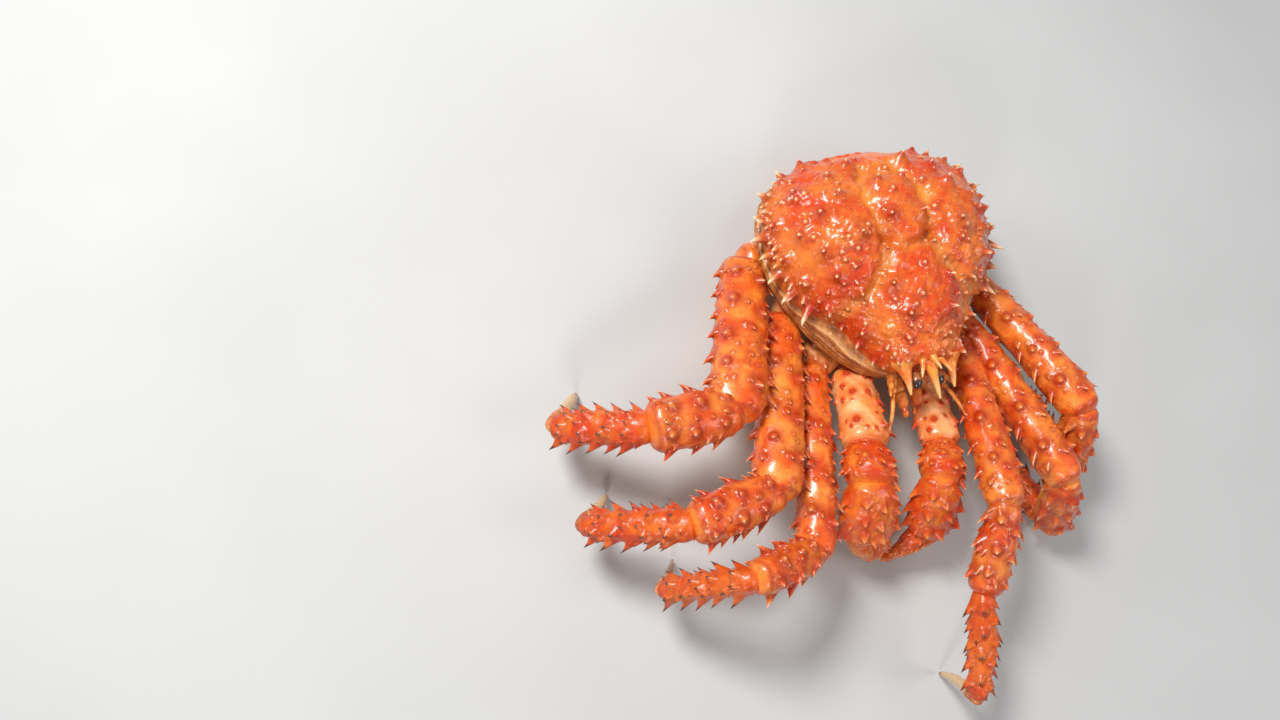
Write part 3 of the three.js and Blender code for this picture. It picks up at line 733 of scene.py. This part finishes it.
# smooth spikes of the front: shares of length and radius along each, then for each spike its foot,
# angles, length, radius and bow
spikeForm = {
    "taper": [(0, 1.3), (0.12, 1.05), (0.3, 0.64), (0.55, 0.38), (0.85, 0.2), (1, 0.09)],
    "brow": ((12, -43, 55), (-2, -2), 16, 4.6, 0.8),
    "beak": ((0, -41.5, 57), (0, 5), 22, 4.6, 0.8),
    "beakTop": ((0, -42, 60), (0, 38), 11, 3.0, 0.3),
    "beakSide": ((3.2, -42, 59), (24, 14), 12, 2.8, 0.5),
    "spacing": 0.7, "tip": 0.8, "tipFrom": (0.2, 0.9), "spot": 0.2, "spotFrom": (0.1, 0.45),
}


def spike(name, sign=1):
    (x, y, z), (aside, rise), length, radius, bow = spikeForm[name]
    rings = roundRings(spikeForm["taper"], radius)
    limb = Limb((sign * x, y, z), heading((sign * aside, rise)), length, rings, bow)
    skin = limb.skin(step=fineness * spikeForm["spacing"], dome=0.3, rough=0.08)
    skin.pale[:] = 0
    skin.tip[:] = (smoothStep(skin.t, *spikeForm["tipFrom"]) * spikeForm["tip"])[:, None]
    skin.spot[:] = (1 - smoothStep(skin.t, *spikeForm["spotFrom"]))[:, None] * spikeForm["spot"]
    return skin.turn(bodyForm["turn"])


shell = shellSkin()
dressShell(shell)
makePiece("carapace", [shell.turn(bodyForm["turn"])], "shellRed", "shell")
makePiece("carapace", [spike("brow", sign) for sign in (-1, 1)], "beakOrange", "brow")
beak = [spike("beak"), spike("beakTop"), spike("beakSide", -1), spike("beakSide", 1)]
makePiece("rostrum", beak, "beakOrange", "beak")
print("shell grown")

# belly and belly flap: place along the body and half width, for the flap also its top; grid spacing
# against fineness, seams across it, the plates that break it up, and how leathery the belly is
trunkForm = {
    "outline": [[-40, 14], [-33, 20], [-22, 25], [-8, 30], [12, 38], [27, 40], [42, 36], [55, 22]],
    "bottom": 6.3, "top": 30.7, "spacing": 1.3,
    "seams": [-30, -18, -4, 12, 28, 41], "seamDepth": 1.3,
    "plates": {"gap": 9.5, "seam": 1.3, "depth": 0.8, "crown": 0.9, "nodules": 150, "seed": 5},
    "leather": 0.3,
}
flapForm = {
    "outline": [[-24, 7, 4], [-16, 17, 6], [0, 25, 6], [20, 31, 6], [40, 32, 6], [55.3, 29, 26],
                [61, 24, 27], [66, 15, 19]],
    "bottom": 0.0, "spacing": 1.2,
    "seams": [-14, -2, 11, 24, 37, 49, 56], "seamDepth": 0.8,
    "plates": {"gap": 10.5, "seam": 1.4, "depth": 0.9, "crown": 0.8, "nodules": 230, "seed": 6},
}
# what both share: rounding of the ends, length of a ring, squareness across and up, unevenness, seams
# and the small nodules on the plates
slabForm = {
    "edge": 2.5, "ring": 125, "square": (0.6, 0.35), "lumps": (9, 14, 0.35),
    "seamWidth": 1.1, "seamPale": 0.6, "plateTries": 3000, "platePale": 0.8, "plateSpot": 0.5,
    "nodule": {"length": 0.6, "radius": 1.3, "power": 0, "halo": 0.5, "tip": 0.5, "size": (0.7, 1.6)},
}


# rounded slab along the body, with seams across it
def slabSkin(form, topOf):
    outline, bottom = form["outline"], form["bottom"]
    step = fineness * form["spacing"]
    first, last = outline[0][0], outline[-1][0]
    y = np.linspace(first, last, int((last - first) / step))
    near = np.minimum(y - first, last - y)
    close = np.sqrt(np.clip(1 - np.clip(1 - near / slabForm["edge"], 0, 1) ** 2, 0.03, 1))
    half, top = curved(outline, y), topOf(y)
    count = int(slabForm["ring"] / step)
    angle = np.arange(count) * 2 * math.pi / count
    x, z = (squarer(way(angle), power) for way, power in zip((np.cos, np.sin), slabForm["square"]))
    middle, reach = (top + bottom) / 2, (top - bottom) / 2
    height = middle[:, None] + (reach * close)[:, None] * z
    skin = Skin(gridOf((half * close)[:, None] * x, y[:, None], height))
    groove = sum(bell(y - seam, slabForm["seamWidth"]) for seam in form["seams"])
    uneven = lumps(skin.base, *slabForm["lumps"]) * close[:, None]
    skin.swell(-form["seamDepth"] * groove[:, None] * np.ones(count) + uneven)
    skin.pale[:] = np.clip(groove, 0, 1)[:, None] * slabForm["seamPale"]
    return skin


# breaks a skin up into plates with sunken seams, and sets small nodules on them
def mosaic(skin, look):
    rng = np.random.default_rng(look["seed"])
    places = skin.base.reshape(-1, 3)
    chosen = []
    for index in rng.permutation(len(places))[:slabForm["plateTries"]]:
        if all(np.linalg.norm(places[index] - one) > look["gap"] for one in chosen):
            chosen.append(places[index])
    near = np.full((2, len(places)), 1e9)
    for one in chosen:
        far = np.linalg.norm(places - one, axis=1)
        near[1] = np.minimum(near[1], np.maximum(near[0], far))
        near[0] = np.minimum(near[0], far)
    shape = skin.base.shape[:2]
    seam = bell(near[1] - near[0], look["seam"]).reshape(shape)
    crown = (1 - np.clip(near[0] / look["gap"], 0, 1) ** 2).reshape(shape)
    skin.swell(look["crown"] * crown - look["depth"] * seam)
    skin.pale = np.maximum(skin.pale, slabForm["platePale"] * seam)
    skin.spot = np.maximum(skin.spot, slabForm["plateSpot"] * crown**2)
    nodule = slabForm["nodule"]
    for _ in range(look["nodules"]):
        i, j = rng.integers(6, shape[0] - 6), rng.integers(0, shape[1])
        if skin.tip[i, j] < spineForm["free"]:
            skin.grow(i, j, skin.normals[i, j], nodule, rng.uniform(*nodule["size"]))


trunk = slabSkin(trunkForm, lambda y: np.full(y.shape, trunkForm["top"]))
trunk.flank[:] = trunkForm["leather"]
mosaic(trunk, trunkForm["plates"])
makePiece("thorax", [trunk], "bellyOrange", "trunk")
flap = slabSkin(flapForm, lambda y: curved(flapForm["outline"], y, 2))
mosaic(flap, flapForm["plates"])
makePiece("abdomen", [flap], "bellyOrange", "flap")
print("belly made")

limbSpines = {
    # height, radius of the foot and lean towards the tip of the limb
    "edge": {"length": 6.0, "radius": 3.3, "lean": 0.9, "power": 1.35, "tip": 1.0},
    "back": {"length": 3.0, "radius": 3.2, "lean": 0.4, "power": 1.3, "tip": 0.95},
    # small beads, none of them under the limb, where the sine of the angle is lower than this
    "bead": {"length": 0.65, "radius": 1.35, "power": 1, "halo": 0.7, "tip": 0.85, "size": (0.7, 1.3),
             "lowest": -0.6},
    # bend against height
    "bend": 0.25,
    # how the main rows stand, as on the solids, and the finer spines between them, which keep some of the
    # foot of an edge spine however short they are, and end early on a limb with a thin end
    "main": {"from": 0.06, "reach": 0.88, "first": 0.35, "stagger": 0.3, "loose": 0.25, "sway": 14},
    "finer": {"from": 0.05, "reach": 0.9, "thinEnd": 2, "thinReach": 0.5, "sway": 9, "size": (0.75, 1.15),
              "foot": 0.35, "halo": 0.85, "free": 0.05},
}
legForm = {
    # lengths from the thigh to the tip, then their share of the thickness in the rings
    "sizes": {"second": (96, 44, 48, 34, 0.9), "third": (94, 44, 50, 36, 1),
              "fourth": (86, 42, 46, 36, 1.02)},
    # share of the length, half width, half height
    "rings": {
        "hip": [[0, 8, 7.5], [0.4, 10, 9], [0.85, 10, 9], [1.15, 5.5, 5]],
        "merus": [[0, 8, 7], [0.07, 9.6, 9], [0.5, 11, 9.6], [0.9, 11.6, 10], [1, 9.6, 8.6], [1.05, 5, 4.6]],
        "carpus": [[-0.05, 6.5, 6], [0.12, 9, 8.4], [0.5, 10.6, 9.4], [0.88, 10.4, 9.2], [1.02, 7, 6.4]],
        "propodus": [[-0.04, 5.4, 5], [0.12, 7, 6.5], [0.5, 6.8, 6.2], [0.85, 5.8, 5.4], [1.02, 4.2, 4]],
        "dactyl": [[-0.04, 3.6, 3.4], [0.12, 4, 3.8], [0.36, 2.7, 2.6], [0.75, 1.8, 1.8], [1, 0.8, 0.8]],
    },
    "bows": {"merus": 1.5, "carpus": 0.6, "propodus": 0.8, "dactyl": 2.4},
    # places of the hip and of its end, extra breadth, then turn and rise of each limb out to the tip
    "poses": {
        "fourth_right": [(-44, 20, 18), (-65, 20, 20), 1.12,
                         (-19, 20.5), (-86, 3), (-103.5, -33.5), (136.5, -46)],
        "third_right": [(-33, -6, 18), (-50, -9, 19), 1,
                        (-18.5, 18.4), (-77.4, 6.4), (-99.7, -29.5), (127, -51)],
        "second_right": [(-23, -23, 17), (-38, -34, 17), 0.86,
                         (-16, 16), (-80.5, 30), (-90.7, -48), (129.6, -57)],
        "fourth_left": [(42, 4, 18), (58, 0, 19), 0.8, (18, 22), (8, -50), (-170, -9), (-166, -13)],
        "third_left": [(32, -16, 18), (46, -20, 19), 0.8, (14, 17), (27, -57), (-155, -4), (-160, -9)],
        "second_left": [(24, -22, 18), (41.5, -25, 19), 0.9,
                        (-8, 21.4), (-19, -17), (-11.5, -8.5), (180, -75)],
    },
    # main rows: angle round the limb, count and kind of spine
    "rows": {
        "merus": [(0, 6, "edge"), (180, 6, "edge"), (55, 4, "back"), (125, 4, "back")],
        "carpus": [(0, 3, "edge"), (180, 3, "edge"), (60, 3, "back"), (120, 3, "back"), (270, 2, "back")],
        "propodus": [(0, 5, "edge"), (180, 5, "edge"), (60, 4, "back"), (120, 4, "back"), (270, 2, "back")],
    },
    # finer spines between those: angle, count and share of the size of an edge spine
    "extra": {
        "merus": [(10, 3, 0.5), (170, 3, 0.5), (90, 5, 0.5), (30, 3, 0.42), (150, 3, 0.42),
                  (332, 4, 0.4), (208, 4, 0.4)],
        "carpus": [(6, 3, 0.75), (174, 3, 0.75), (90, 3, 0.55), (33, 3, 0.5), (147, 3, 0.5),
                   (325, 2, 0.45), (215, 2, 0.45)],
        "propodus": [(0, 6, 0.6), (180, 6, 0.6), (90, 4, 0.5), (32, 4, 0.5), (148, 4, 0.5),
                     (330, 3, 0.45), (210, 3, 0.45)],
        "hip": [(60, 2, 0.5), (120, 2, 0.5)],
    },
    "beads": {"hip": 25, "merus": 105, "carpus": 50, "propodus": 40, "dactyl": 0},
    # wavy edges of the horn and of the dark end: height, number of waves, where they begin and are full
    "horn": (0.05, 5, 0.1, 0.34), "darkEnd": (0.06, 3, 0.74, 1.0), "hornTip": (0.8, 1.0),
    "hipSpacing": 1.6,
    "finishes": {"hip": "hipBrown", "propodus": "legDarkTips", "dactyl": "nailHorn"},
}
# the same for the claws, whose last length and turn are those of the fingers
clawForm = {
    "sizes": {"right": (43, 20, 31, 25, 1.13), "left": (44, 20, 33, 26, 0.96)},
    "rings": {
        "hip": [[0, 6, 6], [0.6, 7.4, 7], [1, 7.4, 7], [1.3, 4, 4]],
        "merus": [[0, 7, 6.6], [0.12, 8.6, 8], [0.6, 9.4, 8.8], [0.94, 9.8, 9], [1.06, 5.6, 5.2]],
        "carpus": [[-0.1, 6, 5.6], [0.2, 9, 8.6], [0.65, 10.8, 9.8], [1, 8.6, 8], [1.14, 5, 4.6]],
        "palm": [[-0.08, 6, 5.6], [0.14, 9.6, 8.4], [0.5, 12.6, 10], [0.85, 12, 9.4], [1.04, 7.6, 6.2]],
        "finger": [[-0.16, 4.6, 4.8], [0.15, 4.8, 5.2], [0.55, 3.6, 4.2], [0.85, 2.2, 2.8], [1, 0.9, 1.1]],
    },
    "poses": {
        "right": [(-12, -32, 17), (-19, -40, 18), 1, (-10, 24), (-19, 26), (8, -40), (34, -54)],
        "left": [(11, -34, 17), (18, -42, 18), 1, (-6, 22), (-30, 25), (2, -44), (-62, -26)],
    },
    "rows": {
        "merus": [(0, 2, "edge"), (180, 2, "edge"), (60, 3, "back"), (120, 3, "back")],
        "carpus": [(0, 3, "edge"), (180, 3, "edge"), (65, 2, "back"), (115, 2, "back")],
        "palm": [(0, 3, "edge"), (180, 3, "edge"), (55, 3, "back"), (95, 3, "back"), (135, 3, "back")],
    },
    "extra": {
        "merus": [(0, 3, 0.5), (180, 3, 0.5), (90, 3, 0.6), (35, 3, 0.5), (145, 3, 0.5)],
        "carpus": [(0, 3, 0.6), (180, 3, 0.6), (90, 2, 0.7), (40, 3, 0.5), (140, 3, 0.5)],
        "palm": [(20, 3, 0.4), (160, 3, 0.4), (75, 2, 0.35), (115, 2, 0.35), (-30, 3, 0.4), (210, 3, 0.4)],
        "finger": [(60, 3, 0.4), (120, 3, 0.4)],
    },
    "beads": {"hip": 15, "merus": 50, "carpus": 30, "palm": 60, "finger": 15},
    "bows": {"merus": 1, "finger": 1.2},
    # how far the feet of the fingers stand from the middle, and the share of that at their tips
    "apart": 5, "tipShare": 0.3,
    "finishes": {"hip": "hipBrown", "merus": "clawPeach"},
}


def scaled(rings, wide, high):
    return [[t, a * wide, b * high] for t, a, b in rings]


# the limbs from the hip outwards, each from the end of the one before
def chainOf(key, form, names):
    (hip, root, across, *ways), (*lengths, girth) = form["poses"][key], form["sizes"][key.split("_")[0]]
    hip, start = np.array(hip, float), np.array(root, float)
    chain = {"hip": Limb(hip, start - hip, np.linalg.norm(start - hip), form["rings"]["hip"])}
    for name, way, length in zip(names, ways, lengths):
        rings = scaled(form["rings"][name], girth * across, girth)
        chain[name] = Limb(start, heading(way), length, rings, form["bows"].get(name, 0))
        start = chain[name].end
    return chain


def fingerLimb(palm, key, apart):
    *_, length, girth = clawForm["sizes"][key]
    start = palm.end + palm.side * apart * girth
    tip = palm.end + heading(clawForm["poses"][key][-1]) * length + palm.side * apart * clawForm["tipShare"]
    rings = scaled(clawForm["rings"]["finger"], girth, girth)
    return Limb(start, tip - start, np.linalg.norm(tip - start), rings, clawForm["bows"]["finger"])


legs = {key: chainOf(key, legForm, ("merus", "carpus", "propodus", "dactyl")) for key in legForm["poses"]}
claws = {key: chainOf(key, clawForm, ("merus", "carpus", "palm")) for key in clawForm["poses"]}
for key, chain in claws.items():
    apart = clawForm["apart"] if key == "right" else -clawForm["apart"]
    chain["fixed"] = fingerLimb(chain["palm"], key, -apart)
    chain["finger"] = fingerLimb(chain["palm"], key, apart)
allLimbs = [limb for chain in [*legs.values(), *claws.values()] for limb in chain.values()]


def insideShell(point):
    angle = math.radians(bodyForm["turn"])
    x = point[0] * math.cos(angle) + point[1] * math.sin(angle)
    y = point[1] * math.cos(angle) - point[0] * math.sin(angle)
    z = point[2]
    if not bodyForm["front"] < y < bodyForm["rear"] or z < bodyForm["floor"]:
        return False
    half = straight(bodyForm["halfWidths"], y)
    return abs(x) < half and z < shellPoint(y, min(abs(x) / half, 0.99))[2] + spineForm["shellRoom"]


# whether a spine of one limb would stand in the floor, the shell or another limb there
def blocked(point, own):
    if point[2] < spineForm["room"] or insideShell(point):
        return True
    return any(limb is not own and limb.holds(point) for limb in allLimbs)


# skin of a limb with all that its form sets on it; the two seeds fix its unevenness and its spines
def dressed(limb, name, form, skinSeed, spineSeed, step=None):
    skin = limb.skin(step, seed=skinSeed)

    # one spine, unless something is in its way
    def put(t, angle, kind, size):
        i, j = limbSpot(skin, t, angle)
        out = math.cos(angle) * limb.side + math.sin(angle) * limb.up
        direction = unit(limb.direction * kind["lean"] + out)
        foot, top = skin.base[i, j], direction * kind["length"] * size
        if not blocked(foot + top, limb) and not blocked(foot + top * 0.5, limb):
            bend = limb.direction * kind["length"] * size * limbSpines["bend"]
            skin.grow(i, j, direction, kind, size, bend)

    draw, main = drawFrom(spineSeed), limbSpines["main"]
    for row, (degrees, count, kind) in enumerate(form["rows"].get(name, [])):
        for k in range(count):
            along = k + main["first"] + main["stagger"] * (row % 2) + main["loose"] * (next(draw) - 0.5)
            angle = math.radians(degrees + main["sway"] * (next(draw) - 0.5))
            size = 1 + spread * (next(draw) - 0.5)
            put(main["from"] + main["reach"] * along / count, angle, limbSpines[kind], size)
    rng, edge, finer = np.random.default_rng(spineSeed), limbSpines["edge"], limbSpines["finer"]
    reach = finer["reach"] if limb.rings[-1][1] > finer["thinEnd"] else finer["thinReach"]
    for degrees, count, share in form["extra"].get(name, []):
        length = edge["length"] * share
        radius = edge["radius"] * (finer["foot"] + (1 - finer["foot"]) * length / edge["length"])
        kind = {**edge, "length": length, "radius": radius, "halo": finer["halo"]}
        for k in range(count):
            t = finer["from"] + reach * (k + rng.uniform(0.1, 0.9)) / count
            angle = math.radians(degrees + rng.uniform(-finer["sway"], finer["sway"]))
            if skin.tip[limbSpot(skin, t, angle)] < finer["free"]:
                put(t, angle, kind, rng.uniform(*finer["size"]))
    bead = limbSpines["bead"]
    for _ in range(form["beads"][name]):
        i, j = rng.integers(6, len(skin.t) - 6), rng.integers(0, len(skin.angle))
        if skin.tip[i, j] < spineForm["free"] and math.sin(skin.angle[j]) > bead["lowest"]:
            skin.grow(i, j, skin.normals[i, j], bead, rng.uniform(*bead["size"]))
    return skin


# how far a colour with a wavy edge has come in along a limb
def wavyEdge(skin, height, waves, low, high):
    return smoothStep(skin.t[:, None] + height * np.sin(waves * skin.angle)[None, :], low, high)


for number, (key, chain) in enumerate(legs.items()):
    for step, (name, limb) in enumerate(chain.items()):
        spacing = fineness * legForm["hipSpacing"] if name == "hip" else fineness
        skin = dressed(limb, name, legForm, 10 * number + step, 100 * number + 10 * step + 3, spacing)
        if name == "propodus":
            skin.spot = np.maximum(skin.spot, wavyEdge(skin, *legForm["darkEnd"]))
        if name == "dactyl":
            skin.pale[:] = wavyEdge(skin, *legForm["horn"])
            sharp = smoothStep(skin.t, *legForm["hornTip"])
            skin.tip = np.maximum(skin.tip, sharp[:, None])
        redHip = name == "hip" and key.startswith("fourth")
        finish = "legRed" if redHip else legForm["finishes"].get(name, "legRed")
        makePiece(f"leg_{key}_{name}", [skin], finish)
    print(f"leg {key} grown")

for number, (key, chain) in enumerate(claws.items()):
    for step, name in enumerate(["hip", "merus", "carpus", "palm", "finger"]):
        skins = [dressed(chain[name], name, clawForm, 70 + 10 * number + step, 50 * number + 7 * step + 5)]
        if name == "palm":
            skins.append(dressed(chain["fixed"], "finger", clawForm, 90 + number, 300 + number))
        makePiece(f"claw_{key}_{name}", skins, clawForm["finishes"].get(name, "clawOrange"))
print("claws grown")

faceForm = {
    # foot, angles, length, bow, then pitch and depth of its ring grooves, grid spacing, and rings as share
    # of the length and radius; the whip stands on the end of the stem; last, how pale the undersides stay
    "stalk": ((4.6, -44.5, 51), (8, 8), 6.5, 0, (3.0, 0.15), 0.3, [[0, 2.3], [0.6, 2.0], [1, 2.2]]),
    "stem": ((10.5, -43, 41), (14, 4), 13, 0, (4.3, 0.4), 0.3, [[0, 2.8], [0.5, 2.5], [1, 1.7]]),
    "scale": ((12, -48, 42), (30, 20), 11, 0, (30, 0.0), 0.3, [[0, 1.8], [0.5, 1.2], [1, 0.4]]),
    "whip": (None, (22, 2), 18, 1.5, (1.3, 0.12), 0.2,
             [[-0.02, 1.1], [0.2, 1.0], [0.4, 0.9], [0.6, 0.8], [0.8, 0.65], [1, 0.35]]),
    "antennule": ((3.6, -45.4, 44), (8, -4), 11, 0.8, (3.4, 0.3), 0.2, [[0, 1.5], [0.5, 1.2], [1, 0.6]]),
    "jaw": ((4.4, -38, 24), (-1, 14), 30, 3, (8.0, 0.7), 0.3, [[0, 3], [0.3, 3.4], [0.7, 3], [1, 1.4]]),
    "pale": 0.5,
}
# turn, half length and half breadth of the eye, its place along the stalk, where its rim fades, and its
# grid spacing
eyeForm = {"turn": 8, "long": 3.8, "wide": 2.6, "along": 1.3, "rim": (0.38, 0.55), "spacing": 0.2}


def faceLimb(name, sign, start=None):
    foot, (aside, rise), length, bow, _, _, rings = faceForm[name]
    start = np.multiply(foot, (sign, 1, 1)) if start is None else start
    return Limb(start, heading((sign * aside, rise)), length, roundRings(rings), bow)


def ringed(name, limb):
    _, _, _, _, (pitch, depth), spacing, _ = faceForm[name]
    skin = limb.skin(step=spacing, dome=0.9, rough=0.1)
    groove = depth * np.clip(np.sin(skin.away * 2 * math.pi / pitch), 0, 1) ** 4
    skin.swell(-groove[:, None] * np.ones(len(skin.angle)))
    skin.pale *= faceForm["pale"]
    return skin.turn(bodyForm["turn"])


def eyeSkin(stalk, sign):
    half, ahead = eyeForm["long"], heading((sign * eyeForm["turn"], 0))
    oval = [(t, eyeForm["wide"] * (1 - (2 * t - 1) ** 2) ** 0.5 + 0.05) for t in np.linspace(0, 1, 21)]
    eye = Limb(stalk.centre(eyeForm["along"]) - ahead * half, ahead, 2 * half, roundRings(oval))
    skin = eye.skin(step=eyeForm["spacing"], dome=0.1, rough=0.0).turn(bodyForm["turn"])
    skin.pale[:] = (1 - smoothStep(skin.t, *eyeForm["rim"]))[:, None]
    return skin


for side, sign in (("right", -1), ("left", 1)):
    parts = {name: faceLimb(name, sign) for name in ("stalk", "stem", "scale", "antennule", "jaw")}
    parts["whip"] = faceLimb("whip", sign, parts["stem"].end)
    skins = {name: ringed(name, limb) for name, limb in parts.items()}
    makePiece(f"eyestalk_{side}", [skins["stalk"]], "stalkBrown")
    makePiece(f"eye_{side}", [eyeSkin(parts["stalk"], sign)], "eyeDark")
    makePiece(f"antenna_{side}_stem", [skins["stem"], skins["scale"]], "mouthOrange")
    makePiece(f"antenna_{side}_whip", [skins["whip"]], "mouthOrange")
    makePiece(f"antennule_{side}", [skins["antennule"]], "mouthOrange")
    makePiece(f"mouthpart_{side}", [skins["jaw"]], "mouthOrange")
print("face made")

room = {
    "floor": (0.54, 0.535, 0.525), "floorLight": (0.59, 0.585, 0.575),
    "floorHalf": 6, "floorScale": 4.0, "floorRoughness": 0.7,
    "air": (0.94, 0.96, 1.0), "airStrength": 0.31,
    # place in metres, size and power of each lamp
    "lamps": [((-0.5, 0.42, 0.8), 0.3, 10.6), ((0.5, -0.35, 0.7), 0.4, 1.6),
              ((-0.45, -0.7, 0.5), 0.2, 1.8)],
}
floorMesh = bpy.data.meshes.new("floor")
corners = [(x * room["floorHalf"], y * room["floorHalf"], 0) for x, y in ((-1, -1), (1, -1), (1, 1), (-1, 1))]
floorMesh.from_pydata(corners, [], [(0, 1, 2, 3)])
floorPiece = addObject("floor", floorMesh)
floorFinish = bpy.data.materials.new("paleFloor")
floorFinish.use_nodes = True
tree = floorFinish.node_tree
shine = tree.nodes["Principled BSDF"]
clouds = grain(tree, addNode(tree, "ShaderNodeTexCoord").outputs["Object"], room["floorScale"], 3.0)
clouded = blend(tree, fade(tree, clouds, 0.3, 0.7), room["floorLight"], room["floor"])
link(tree, shine.inputs["Base Color"], clouded)
shine.inputs["Roughness"].default_value = room["floorRoughness"]
floorMesh.materials.append(floorFinish)

world = bpy.data.worlds.new("softAir")
bpy.context.scene.world = world
world.use_nodes = True
background = world.node_tree.nodes["Background"]
link(world.node_tree, background.inputs["Color"], room["air"])
background.inputs["Strength"].default_value = room["airStrength"]
for number, (place, size, power) in enumerate(room["lamps"]):
    lamp = bpy.data.lights.new(f"lamp{number}", "AREA")
    lamp.shape, lamp.size, lamp.energy = "DISK", size, power
    lampPiece = addObject(f"lamp{number}", lamp)
    lampPiece.location = place
    lampPiece.rotation_euler = Vector(place).to_track_quat("Z", "Y").to_euler()

# looks down on the crab from its right and front, rolled as the photo is
eyePoint = {
    "place": (-237.24, -107.8, 468.84),
    "right": (0.9649, -0.1514, 0.2146),
    "up": (0.1056, 0.9718, 0.211),
    "lens": 28, "sensor": 36, "clip": (0.01, 50),
}
camera = bpy.data.cameras.new("camera")
camera.lens, camera.sensor_width = eyePoint["lens"], eyePoint["sensor"]
camera.clip_start, camera.clip_end = eyePoint["clip"]
cameraPiece = addObject("camera", camera)
rightWay = unit(eyePoint["right"])
backWay = unit(np.cross(rightWay, eyePoint["up"]))
upWay = np.cross(backWay, rightWay)
turn = Matrix([[*map(float, row)] for row in np.stack([rightWay, upWay, backWay], axis=1)])
cameraPiece.matrix_world = Matrix.Translation([v * mm for v in eyePoint["place"]]) @ turn.to_4x4()
bpy.context.scene.camera = cameraPiece
bpy.context.scene.view_settings.view_transform = "Standard"
print("room and camera set")
